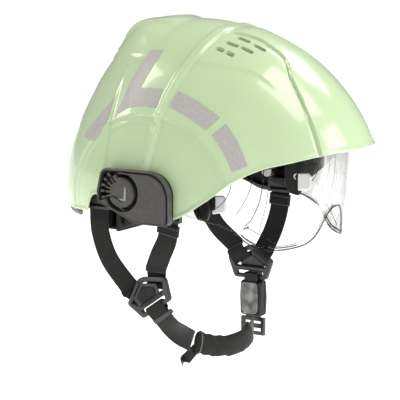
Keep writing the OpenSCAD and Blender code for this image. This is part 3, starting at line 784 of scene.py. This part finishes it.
def make_module(side, word):
    """Bezel with its floor and fixed ribs, and the cover that ends at the dial's well."""
    place = side_place(side)
    inner = module_outline(2.6)
    parts = [plate(inner, 101, 111.8, 0.4, MODULE, place, [module_outline(6.5)]),
             plate(inner, 107, 110.6, 0.4, PLASTIC, place, [circle_loop(*DIAL, 2.6, 24)]),
             plate(module_outline(), 112.4, 119.6, 1.1, MODULE, place, [module_ring(2.0, 0.9)]),
             plate(module_ring(1.3, 0.5), 108, 116.6, 0.3, PLASTIC, place, [module_ring(3.3, 1.2)])]
    for angle in FINS:
        c, d = math.cos(math.radians(angle)), math.sin(math.radians(angle))
        rib = [(DIAL[0] + r * c - w * d, DIAL[1] + r * d + w * c)
               for r, w in ((18.2, -0.95), (22.2, -1.25), (22.2, 1.25), (18.2, 0.95))]
        parts.append(plate(rib, 110.5, 119.6, 0.3, DIAL_GREY, place))
    bezel = merged(f"module_bezel_piece_{word}", parts)
    ride(bezel, "helmet", f"module_bezel_{word}", slot="plastic")

    loop = module_ring(3.1, 1.0)
    from_dial = np.hypot(loop[:, 0] - DIAL[0], loop[:, 1] - DIAL[1])
    behind = (loop[:, 0] < DIAL[0] - 5) & (loop[:, 1] > 4.5)
    far = (from_dial > WELL + 0.2) & ~behind
    start = int(np.argmax(far & ~np.roll(far, 1)))
    kept = np.roll(loop, -start, 0)[np.roll(far, -start)]
    a0, a1 = (math.atan2(z - DIAL[1], x - DIAL[0]) for x, z in (kept[-1], kept[0]))
    if a1 > 0:
        a1 -= 2 * math.pi
    arc = [(DIAL[0] + WELL * math.cos(u), DIAL[1] + WELL * math.sin(u)) for u in np.linspace(a0, a1, 70)]
    cover = plate(np.vstack([kept, arc]), 110.8, 119.8, 0.9, DIAL_GREY, place,
                  name=f"module_cover_piece_{word}")
    ride(cover, "helmet", f"module_cover_{word}", slot="plastic")
    mark_sharp(bezel, 30)
    mark_sharp(cover, 30)


def make_dial(side, word):
    """Rotary knob: a smooth face towards the front, finger fins in its open rear side, and a pointer."""
    rings, spokes = 72, 360
    u = turns(spokes)
    deg = np.degrees(u)
    reach = ease(104, 108, deg) * ease(207, 203, deg)
    level = np.linspace(0, 1, rings)[:, None]
    r = level * (14.0 + 3.2 * reach)
    fin = np.zeros_like(r)
    for angle in FINS:
        fin = np.maximum(fin, ease(1.3, 0.8, np.abs(r * np.sin(np.radians(deg - angle)))))
    low = ease(121, 124, deg) * reach * ease(11.2, 12.0, r) * (1 - fin)
    hollow = np.exp(-((r * np.cos(u) + 5.5) ** 2 + (r * np.sin(u) - 9.6) ** 2) / 0.9)
    height = DIAL_FACE - 6.5 * low - 1.4 * ease(0.93, 1.0, level) - 0.35 * (r / 15.2) ** 2 - 2.0 * hollow
    top = np.stack([DIAL[0] + r * np.cos(u), side * height, DIAL[1] + r * np.sin(u)], -1)
    base = top[-1].copy()
    base[:, 1] = side * DIAL_BASE
    middles = [[DIAL[0], side * DIAL_FACE, DIAL[1]], [DIAL[0], side * DIAL_BASE, DIAL[1]]]
    verts = np.vstack([top[1:].reshape(-1, 3), base, middles])
    faces = ring_faces(rings, spokes)
    mid, under = len(verts) - 2, len(verts) - 1
    last = (rings - 1) * spokes
    faces += [(mid, i, (i + 1) % spokes) for i in range(spokes)]
    faces += [(under, last + (i + 1) % spokes, last + i) for i in range(spokes)]
    pieces = [mesh_piece("knob", verts, faces, DIAL_GREY)]
    mark_sharp(pieces[0], 50)
    # the two light grey plates make the raised pointer, their light grey a painted highlight on its edges; the
    # black strip beside them is painted shade of the cut next to it
    for points, low_at, high_at, material in (
            ([(3.6, -7.6), (6.0, -7.0), (6.6, 4.6), (4.8, 6.2)], 120.4, 121.5, POINTER_HIGHLIGHT),
            ([(-2.6, -5.4), (3.6, -7.6), (5.6, -7.2), (4.2, -5.4)], 120.4, 121.5, POINTER_HIGHLIGHT),
            ([(-9.4, -4.6), (2.6, -8.8), (3.0, -7.9), (-6.4, -2.8), (-9.8, -3.2)], 120.3, 121.2, PLASTIC)):
        shape = rounded_loop(np.add(points, DIAL), 0.8)
        pieces.append(plate(shape, low_at, high_at, 0.2, material, side_place(side)))
    ride(merged(f"lock_dial_{word}", pieces), f"{word}_dial", f"side_dial_{word}", slot="plastic")


# ---------- visor ----------

# the lens's lower and upper edge by distance from the middle
lens_low = cubic([(0, -2), (7, -3), (14, -10), (22, -24), (32, -33), (46, -37), (58, -38), (68, -36),
                  (75, -29), (80, -20), (85, -15), (92, -10)])
lens_top = cubic([(0, 58), (40, 54), (70, 44), (92, 34)])
LENS_HALF = 92.0
LENS_WALL = 2.2
# moulded lines on each cheek: points in Y and Z for the right side, and a radius
LENS_ARCS = [
    ([(-82, 26), (-82.5, 18), (-84.5, 8), (-87, 1)], 0.38),
    ([(-73.5, 33), (-74, 20), (-76.5, 8), (-79.5, -4)], 0.38),
    ([(-67.5, 40), (-68, 24), (-69.5, 7), (-72.5, -8), (-75.5, -15)], 0.5),
    ([(-65, 18), (-66, 2), (-68, -20)], 0.28),
    ([(-74.5, -16), (-66, -24), (-57.5, -31)], 0.4),
    ([(-76, -17.5), (-73.5, -15)], 0.8),
]


def lens_point(y, z, inset=0.0):
    y, z = np.asarray(y, float), np.asarray(z, float)
    reach = 150 + np.where(z > 8, 0.04, 0.14) * (z - 8) - inset
    bow = np.sqrt(np.maximum(0, 1 - (y / (100.4 - inset)) ** 2))
    return np.stack([reach * bow, y * (1 - inset / 400), z], -1)


def make_visor():
    """Clear lens with its rolled edges and moulded lines, and the fittings that join it to the arms."""
    cols, rows = 241, 48
    y = np.linspace(-LENS_HALF, LENS_HALF, cols)
    low, top = lens_low(np.abs(y)), lens_top(np.abs(y))
    z = low + (top - low) * np.linspace(0, 1, rows)[:, None]
    across = np.broadcast_to(y, z.shape)
    verts = np.concatenate([lens_point(across, z, inset).reshape(-1, 3) for inset in (0.0, LENS_WALL)])
    k = cols * rows
    faces = [(j * cols + i, j * cols + i + 1, (j + 1) * cols + i + 1, (j + 1) * cols + i)
             for j in range(rows - 1) for i in range(cols - 1)]
    faces += [tuple(k + f for f in face[::-1]) for face in list(faces)]
    grid = np.arange(k).reshape(rows, cols)
    loop = [int(v) for v in (*grid[0], *grid[1:, -1], *grid[-1, -2::-1], *grid[-2:0:-1, 0])]
    faces += [(a, a + k, b + k, b) for a, b in zip(loop, loop[1:] + loop[:1])]
    lens = mesh_piece("lens_sheet", verts, faces, LENS)
    mark_sharp(lens, 40)

    # beads take the dark tint, painted in for light bent at the clear edges
    def bead(ys, zs, inset, radius):
        return tube(lens_point(ys, zs, inset), radius, LENS_LINE_PAINTED_DARK)

    beads = [bead(y, low + 0.3, 1.1, 0.75), bead(y, top - 0.4, 1.1, 0.8)]
    for side, _ in SIDES:
        ends = np.linspace(lens_low(LENS_HALF), lens_top(LENS_HALF), 20)
        beads.append(bead(np.full(20, side * LENS_HALF), ends, 1.1, 0.8))
        # a doubled lip under each cheek
        ys = np.linspace(42, 77, 40)
        beads += [bead(ys * side, lens_low(ys) + 2.6, 0.7, 0.7), bead(ys * side, lens_low(ys) + 4.0, 1.4, 0.35)]
        for points, radius in LENS_ARCS:
            p = through(points, 12)
            beads.append(bead(-side * p[:, 0], p[:, 1], 1.1, radius))
    ride(merged("visor_shield", [lens] + beads), "visor", "visor_lens", slot="lens")

    plate_shape = [(45, 0), (50, -10), (61, -12), (64, -4), (62, 22), (54, 26), (45, 18)]
    guide_shape = [(63, -6), (77, -3), (77, 9), (74, 12), (63, 11)]
    for side, word in SIDES:
        place = side_place(side)
        fitting = [plate(rounded_loop(plate_shape, 2.4), 82.5, 87.0, 0.8, PLASTIC, place),
                   plate(rounded_box(45.4, 3, 50.6, 14, 1), 86.5, 92.8, 0.4, PLASTIC, place),
                   plate(circle_loop(59, 7, 3.2, 32), 81.4, 82.7, 0.3, WHITE, place,
                         [circle_loop(59, 7, 1.7, 24)]),
                   plate(rounded_loop(guide_shape, 1.5), 77.0, 80.5, 0.7, WHITE, place),
                   plate(rounded_box(59, -2, 67, 10, 1.5), 80.3, 83.0, 0.4, PLASTIC, place)]
        ride(merged(f"lens_fitting_{word}", fitting), "visor", f"lens_bracket_{word}", slot="plastic")


# ---------- dividers and webbing ----------

DIVIDER_AT = (2.0, 92.0, -85.0)
ROLL = {RIGHT: 35.0, LEFT: 0.0}


def divider_place(side):
    c, s = math.cos(math.radians(ROLL[side])), math.sin(math.radians(ROLL[side]))

    def place(v):
        x = DIVIDER_AT[0] + c * v[:, 0] - s * v[:, 1]
        z = DIVIDER_AT[2] + s * v[:, 0] + c * v[:, 1]
        return np.stack([x, side * (DIVIDER_AT[1] + v[:, 2]), z], -1)
    return place


def divider_points(side, points):
    """World points from (x, z, height) on a divider."""
    return divider_place(side)(np.array(points, float))


def make_divider(side, word):
    """Strap divider with a raised rim on its upper bars, and the lock that clips over it."""
    place = divider_place(side)
    frame_shape = [(-26, 4), (-18, -16), (19, -16), (26, 4), (3, 17.5), (-3, 17.5)]
    window = [(-20.2, 2.6), (-15.6, -3.6), (16.4, -3.6), (20.2, 2.6), (2.2, 12.4), (-2.2, 12.4)]
    upper_bars = ([(-24.0, 3.6), (-21.6, 2.2), (-1.4, 13.8), (-2.6, 16.2)],
                  [(1.4, 13.8), (21.6, 2.2), (24.0, 3.6), (2.6, 16.2)])
    parts = [plate(rounded_loop(frame_shape, 3.0), -2.3, 2.3, 1.1, FRAME_GREY, place,
                   [rounded_loop(window, 1.2), rounded_box(-14, -11.8, 14.6, -8.4, 0.9)])]
    parts += [plate(rounded_loop(bar, 0.8), 1.9, 3.4, 0.6, FRAME_GREY, place) for bar in upper_bars]
    divider = merged(f"strap_divider_{word}", parts)
    mark_sharp(divider, 25)
    ride(divider, "helmet", f"divider_{word}", slot="plastic")
    lid = [(-15.5, 3.6), (-11.5, -6.6), (12.5, -6.6), (15.5, 3.6), (0, 12.6)]
    boss = [(-11.5, 2.4), (-9.0, -4.2), (9.6, -4.2), (11.5, 2.4), (0, 9.4)]
    lock = merged(f"divider_lock_{word}", [
        plate(rounded_loop(lid, 1.6), 2.2, 4.4, 0.7, FRAME_GREY, place),
        plate(rounded_loop(boss, 1.2), 4.2, 5.4, 0.8, PLASTIC, place),
        plate(rounded_box(-12.6, -6.4, 13.4, -4.4, 0.6), 4.0, 4.9, 0.3, PLASTIC, place)])
    mark_sharp(lock, 25)
    return ride(lock, "helmet", slot="plastic")


# where the end of a rear strap passes behind the divider's bar; a front strap mirrors it
BAR = [(-16.4, 13.2, -3.6), (-13.2, 8.2, -3.6), (-10.6, 4.2, -0.6), (-9.0, 1.6, 1.4)]
# each strap's place, side, points on the right side, and direction across it at each point
STRAPS = [
    ("front", RIGHT, [(30, 101.5, -4), (30, 101.5, -15), (27, 100, -30), (18, 97, -46), (9.8, 92.2, -60)],
     [(1, 0, 0), (1, 0, 0), (1, 0, 0.1), (1, 0, 0.2), (1, 0, 0.11)]),
    ("rear", RIGHT, [(-56, 88.5, -1), (-56, 88.5, -12.8), (-53, 90.5, -32), (-42, 92, -56),
                     (-22, 91.6, -78.5)],
     [(1, 0, 0.1), (1, 0, 0.1), (0.95, 0, 0.35), (0.8, 0, 0.6), (0.41, 0, 0.91)]),
    ("front", LEFT, [(30, 101.5, -4), (30, 101.5, -15), (29, 100, -32), (24, 97, -52), (18, 92.4, -68)],
     [(1, 0, 0), (1, 0, 0), (1, 0, -0.1), (1, 0, -0.3), (0.88, 0, -0.48)]),
    ("rear", LEFT, [(-56, 88.5, -1), (-56, 88.5, -12.8), (-51, 90.5, -30), (-37, 92, -52), (-17, 91.8, -68)],
     [(1, 0, 0.1), (1, 0, 0.1), (0.95, 0, 0.35), (0.86, 0, 0.51), (0.84, 0, 0.54)]),
]


def stitches(name, points, across, width, offset, rows):
    """Rows of thread stitches lying on a strap's faces, at given places along it."""
    p, _, side, face = frames_along(points, across)
    run = run_length(p)
    bits = []
    for at in rows:
        i = int(np.clip(np.searchsorted(run, at), 0, len(p) - 1))
        for s in np.arange(-width / 2 + 1.6, width / 2 - 1.2, 2.4):
            for sign in (-1, 1):
                mid = p[i] + side[i] * s + face[i] * sign * offset
                span = [mid + side[i] * e - face[i] * sign * 0.25 * abs(e) for e in (-0.8, 0, 0.8)]
                bits.append(tube(span, 0.3, THREAD, 5))
    return merged(name, bits)


def make_webbing():
    for where, side, route, across in STRAPS:
        word = dict(SIDES)[side]
        points = np.array(route, float) * [1, side, 1]
        mirror = 1 if where == "rear" else -1
        turn = divider_points(side, [(mirror * x, z, height) for x, z, height in BAR])
        p = through(np.vstack([points, turn]), 10)
        a = through(np.vstack([across, same_way(unit(np.array(across[-1], float)), len(BAR))]), 10)
        piece = strap(f"{where}_strap_{word}", p, a, 20, 1.6)
        ride(piece, "helmet", f"{where}_webbing_{word}", slot="webbing")
        if where == "front":
            # folded end sewn back on itself below the anchor
            first, last = points[1], points[2]
            q = through([first, (first + last) / 2, last], 10)[:14]
            b = same_way((1.0, 0, 0.05), len(q))
            ride(strap(f"front_fold_{word}", q, b, 22.6, 4.4), "helmet", slot="webbing")
            ride(stitches(f"fold_thread_{word}", q, b, 22, 2.15, (9.5, 2.5)), "helmet", slot="webbing")


# chin webbing, the pad on it and the tail past the pad: points, and directions across them
CHIN = [(14, -91, -102), (17, -80, -115), (19, -63, -127), (21, -48, -135)]
CHIN_ACROSS = [(1, 0, 0.6), (0.8, 0, 0.6), (0.3, 0, 0.9), (0, 0, 1)]
PAD = [(21.6, -46, -136), (27, -18, -145), (29, 10, -149), (26, 38, -150), (18, 64, -147)]
PAD_ACROSS = [(-0.1, 0, 1), (-0.2, 0, 1), (-0.3, 0, 1), (-0.2, 0, 1), (-0.1, 0, 1)]
TAIL = [(17.3, 65.6, -147), (13, 76, -147), (9, 85, -147.5)]
LOOSE = [(21.5, -42, -144), (20.6, -49, -147.5), (19.5, -55, -151), (18, -60, -155)]
LOOSE_ACROSS = [(0.0, 0.2, 1), (0.0, 0.5, 0.85), (0.1, 0.7, 0.7), (0.2, 0.8, 0.55)]


def make_chin():
    """Chin strap: through the divider's slot, folded round its lower bar and on through the pad."""
    bar = np.subtract(*divider_points(RIGHT, [(1, 0, 0), (0, 0, 0)]))

    def at_bar(points):
        return divider_points(RIGHT, [(0, z, height) for z, height in points])

    start = at_bar([(-10.2, -1.0), (-12.5, -4.2), (-17.5, -3.2)])
    fold = through(at_bar([(-10.0, -0.6), (-10.6, 2.6), (-13.6, 3.6), (-17.4, 2.6), (-23.0, 0.4)]), 8)
    keeper = through(at_bar([(-22.2, -2.2), (-25.8, -3.4)]), 8)
    tail = through(TAIL, 8)
    main_across = through(np.vstack([same_way(bar, 3), CHIN_ACROSS]), 10)
    chin = merged("chin_strap_webbing", [
        strap("main", through(np.vstack([start, CHIN]), 10), main_across, 20, 1.6),
        strap("fold", fold, same_way(bar, len(fold)), 19.4, 1.5),
        strap("keeper", keeper, same_way(bar, len(keeper)), 23, 6.2, FRAME_GREY, (9.0, 3.0)),
        strap("tail", tail, same_way((0, 0, 1), len(tail)), 17, 1.6),
        strap("loose_end", through(LOOSE, 8), through(LOOSE_ACROSS, 8), 11, 1.5)])
    ride(chin, "chin_strap", "chin_webbing", slot="webbing")


# ---------- padded pieces ----------

PAD_SECTION = (3.4, 2.6)


def swell(obj, cap, pressure=4.0):
    """Remeshes a pad, blows it up as cloth for 20 frames, limits the rise and smooths it."""
    remesh = obj.modifiers.new("remesh", "REMESH")
    remesh.mode = "VOXEL"
    remesh.voxel_size = 4.0 * MM
    apply_modifiers(obj)
    rest = np.array([v.co[:] for v in obj.data.vertices])
    cloth = obj.modifiers.new("swell", "CLOTH").settings
    cloth.use_pressure = True
    cloth.uniform_pressure_force = pressure
    cloth.effector_weights.gravity = 0
    cloth.quality = 6
    for step in range(1, 21):
        bpy.context.scene.frame_set(step)
    apply_modifiers(obj)
    bpy.context.scene.frame_set(1)
    move = np.array([v.co[:] for v in obj.data.vertices]) - rest
    size = np.linalg.norm(move, axis=1, keepdims=True)
    now = rest + move * np.minimum(1, cap * MM / np.maximum(size, 1e-9))
    obj.data.vertices.foreach_set("co", now.ravel())
    obj.data.update()
    relax = obj.modifiers.new("relax", "SMOOTH")
    relax.factor, relax.iterations = 0.5, 8
    apply_modifiers(obj)
    sub = obj.modifiers.new("smooth", "SUBSURF")
    sub.levels = sub.render_levels = 1
    apply_modifiers(obj)
    shade_smooth(obj)
    return obj


def quilt(obj, spacing, depth, axis):
    """Sewn channels pressed into a pad, across the given axis."""
    mesh = obj.data
    co = np.array([v.co[:] for v in mesh.vertices])
    normal = np.array([v.normal[:] for v in mesh.vertices])
    press = line(np.abs((co[:, axis] / (spacing * MM)) % 1 - 0.5), 0.07) * depth * MM
    mesh.vertices.foreach_set("co", (co - normal * press[:, None]).ravel())
    mesh.update()


def oval_path(a, b, power, start, end, count, z=0.0):
    u = np.radians(np.linspace(start, end, count))
    return np.stack([round_off(np.cos(u), 2 * a, power), round_off(np.sin(u), 2 * b, power),
                     np.full(count, z)], -1)


def risen(points):
    """Moves points of the head suspension up towards the front, as the headband lies."""
    p = np.array(points, float)
    p[..., 2] += 0.28 * p[..., 0] + 13.4
    return p


def wrapped_ring(pad, centre, step, side, face, reach=2.5, count=48):
    """A loop in millimetres laid round a finished pad where it is cut by a plane."""
    co = np.array([v.co[:] for v in pad.data.vertices]) / MM - centre
    near = co[np.abs(co @ step) < reach]
    flat = np.stack([near @ side, near @ face], -1)
    ring = spread_round(flat[convex_hull_2d([tuple(v) for v in flat])], count)
    return centre + ring[:, :1] * side + ring[:, 1:] * face


def add_pad(pad, body, node):
    ride(pad, body, node, slot="padding")


def make_pads():
    p, a = through(PAD, 8), through(PAD_ACROSS, 8)
    chin = swell(strap("chin_sleeve", p, a, 25.5, 7.6, FOAM_CLOTH, PAD_SECTION, 28), 2.4, 3.0)
    add_pad(chin, "chin_strap", "chin_pad")
    rows = list(zip(*frames_along(p, a)))
    for key, row in (("right", rows[2]), ("left", rows[-3])):
        piping = tube(wrapped_ring(chin, *row), 0.75, PIPING, closed=True, name=f"sleeve_piping_{key}")
        ride(piping, "chin_strap", slot="padding")

    count = 60
    brow_path = risen(oval_path(100.6, 77.2, 2.25, -52, 52, count, 2.5))
    along = np.linspace(0, 1, count)
    crown = 0.45 + 0.55 * ease(0, 0.1, along) * ease(1, 0.9, along)
    brow = strap("brow_cushion", brow_path, same_way((0, 0, 1), count), 18.5, 5.6, FOAM_CLOTH, PAD_SECTION,
                 28, crown)
    quilt(swell(brow, 1.2), 21, 0.8, 1)
    add_pad(brow, "helmet", "brow_pad")

    crown_pad = plate(oval_path(32, 24, 2.6, 0, 352.5, 48)[:, :2], 82.6, 88.2, 1.6, FOAM_CLOTH,
                      lambda v: risen(v + [4, 0, 0]), name="crown_cushion")
    quilt(swell(crown_pad, 1.0), 15, 0.7, 0)
    add_pad(crown_pad, "helmet", "crown_pad")

    nape = plate(rounded_box(-24, -41, 24, -23, 5), -74.0, -68.6, 1.6, FOAM_CLOTH,
                 lambda v: v[:, [2, 0, 1]], name="nape_cushion")
    quilt(swell(nape, 0.6), 13, 0.6, 1)
    add_pad(nape, "helmet", "nape_pad")


def make_crown_straps():
    """Two webbing arches over the head, one each way."""
    count = 90
    along = oval_path(87.2, 96.5, 2.3, 14, 166, count)
    over = oval_path(73.4, 94.4, 2.3, 14, 166, count)
    zero = np.zeros(count)
    arches = [strap("long", risen(np.stack([along[:, 0] + 4, zero, along[:, 1]], -1)),
                    same_way((0, 1, 0), count), 18, 1.5),
              strap("short", risen(np.stack([zero + 6, over[:, 0], over[:, 1]], -1)),
                    same_way((1, 0, 0), count), 18, 1.5)]
    ride(merged("crown_strap_pair", arches), "helmet", "crown_straps", slot="webbing")


# ---------- buckle ----------

BUCKLE = (5.0, 92.0, -118.0)


def buckle_place(v):
    return v[:, [0, 2, 1]] + BUCKLE


def make_buckle():
    """Release buckle: front and back walls joined by rails, its upper webbing loop, and a glossy badge."""
    def part(outline, low, high, chamfer, holes=()):
        return plate(outline, low, high, chamfer, PLASTIC, buckle_place, holes)

    front = [(-11.4, -19), (11.4, -19), (12.2, 0), (11.2, 15.4), (-11.2, 15.4), (-12.2, 0)]
    back = [(-11.4, -20), (11.4, -20), (12.2, -2), (11.0, 15.4), (-11.0, 15.4), (-12.2, -2)]
    parts = [part(rounded_loop(front, 3), -7.0, -2.2, 1.6),
             part(rounded_loop(back, 3), 1.0, 7.0, 1.4, [rounded_box(-7.3, -10.1, 7.3, 6.1, 1.2)])]
    parts += [part(rounded_box(x0, -19.6, x0 + 2.6, 15.2, 1), -2.6, 1.4, 0.4) for x0 in (-11.4, 8.8)]
    parts += [part(rounded_box(-7, 14.6, 7, 23.8, 1.4), y0, y1, 0.7) for y0, y1 in ((-6.6, -2.8), (2.8, 6.6))]
    parts.append(part(rounded_box(-7, 21.7, 7, 23.8, 0.8), -6.4, 6.4, 0.6))
    body = merged("release_buckle", parts)
    mark_sharp(body, 35)
    ride(body, "helmet", "buckle_body", slot="plastic")
    badge_shape = [(-9, -14.5), (-6.5, -17.4), (6.5, -17.4), (9, -14.5), (9.4, 0), (9, 14.4), (-9, 14.4),
                   (-9.4, 0)]
    # the badge's grey mottling is painted reflection
    badge = plate(rounded_loop(badge_shape, 3), -8.3, -6.8, 0.7, GLOSSY_PAINTED_REFLECTION, buckle_place, name="buckle_badge")
    mark_sharp(badge, 50)
    ride(badge, "helmet", "buckle_plate", slot="gloss_black")


# ---------- camera, light and floor ----------

CAMERA_AZIMUTH, CAMERA_ELEVATION = math.radians(32.0), math.radians(9.5)
CAMERA_DISTANCE, FRAME_WIDTH, FRAME_RAISE = 2.2, 0.381, -0.0095
FLOOR_HALF, FLOOR_HEIGHT = 12.0, -0.45
# name, place, size in metres, power in watts and colour of each light
LIGHTS = [
    ("key", (1.2, -0.1, 2.2), (1.3, 1.3), 27, (1.0, 0.97, 0.9)),
    ("front", (2.5, 0.4, 0.9), (1.2, 1.8), 38, (1.0, 0.99, 0.94)),
    ("rear", (-1.9, -1.0, 1.6), (0.8, 1.6), 28, (1.0, 0.97, 0.86)),
    ("fill", (0.9, -2.3, 0.5), (1.2, 1.2), 3, (1, 1, 1)),
    ("far", (0.5, 1.7, 2.2), (1.4, 1.0), 24, (1.0, 0.99, 0.93)),
]


def aim(obj, back):
    """Turns a camera or light to look against a direction."""
    obj.rotation_mode = "QUATERNION"
    obj.rotation_quaternion = Vector(back).to_track_quat("Z", "Y")
    return obj.rotation_quaternion


def make_camera():
    """Camera in front of the helmet and to the wearer's right, looking a little down."""
    level = math.cos(CAMERA_ELEVATION)
    back = Vector((math.sin(CAMERA_AZIMUTH) * level, -math.cos(CAMERA_AZIMUTH) * level,
                   math.sin(CAMERA_ELEVATION)))
    cam = placed("camera", bpy.data.cameras.new("camera"))
    cam.data.sensor_width = 36
    cam.data.lens = 36 * CAMERA_DISTANCE / FRAME_WIDTH
    cam.data.clip_end = 50
    cam.location = back * CAMERA_DISTANCE + aim(cam, back) @ Vector((0, FRAME_RAISE, 0))
    bpy.context.scene.camera = cam


def make_world():
    """A dim grey room for the light, and plain white where the camera sees past the floor."""
    scene = bpy.context.scene
    scene.world = bpy.data.worlds.new("studio")
    scene.world.use_nodes = True
    tree = scene.world.node_tree
    tree.nodes.clear()
    way = add(tree, "SeparateXYZ", Vector=add(tree, "TexCoord").outputs["Generated"])
    height = add(tree, "MapRange", From_Min=-1.0, Value=way.outputs["Z"]).outputs["Result"]
    room = add(tree, "Background", Color=ramp(tree, height, grey(0.23), grey(0.44), 0.35, 0.85))
    white = add(tree, "Background", Color=grey(1))
    seen = add(tree, "LightPath").outputs["Is Camera Ray"]
    finish_tree(tree, mixed_shader(tree, seen, room, white), "OutputWorld")
    scene.view_settings.view_transform = "Standard"
    scene.view_settings.look = "None"


def make_stage():
    corners = [(x, y, FLOOR_HEIGHT) for x, y in ((-FLOOR_HALF, -FLOOR_HALF), (FLOOR_HALF, -FLOOR_HALF),
                                                 (FLOOR_HALF, FLOOR_HALF), (-FLOOR_HALF, FLOOR_HALF))]
    mesh = bpy.data.meshes.new("floor")
    mesh.from_pydata(corners, [], [(0, 1, 2, 3)])
    mesh.materials.append(surface("floor_paper", grey(0.93), grey(0.97), 0.9, scale=3, glow=0.64))
    placed("floor", mesh)
    for name, place, size, power, colour in LIGHTS:
        light = bpy.data.lights.new(name, "AREA")
        light.shape = "RECTANGLE"
        light.size, light.size_y = size
        light.energy = power
        light.color = colour
        lamp = placed(name, light)
        lamp.location = place
        aim(lamp, place)


# ---------- making ----------

NODE_MATERIALS = {
    PLASTIC: ["strap_clips", "headband", "side_hangers", "nape_cradle", "ratchet_cover", "band_tail_right",
              "band_tail_left"],
    FRAME_GREY: ["ratchet_wheel", "front_anchors", "rear_anchors", "lower_ladder", "buckle_tongue",
                 "buckle_button"],
    STEEL: ["ratchet_screw", "visor_pivots", "dial_screws", "button_spring"],
    FROSTED: ["visor_arm_right", "visor_arm_left"],
}
for node_material, node_names in NODE_MATERIALS.items():
    for node_name in node_names:
        for material_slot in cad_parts[node_name].material_slots:
            material_slot.material = node_material

make_camera()
make_world()
make_stage()
make_shell()
make_reflectors()
make_trim()
make_liner()
for one_side, side_word in SIDES:
    make_module(one_side, side_word)
    make_dial(one_side, side_word)
make_visor()
locks = [make_divider(one_side, side_word) for one_side, side_word in SIDES]
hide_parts("divider_locks")
make_webbing()
make_chin()
make_pads()
make_crown_straps()
make_buckle()
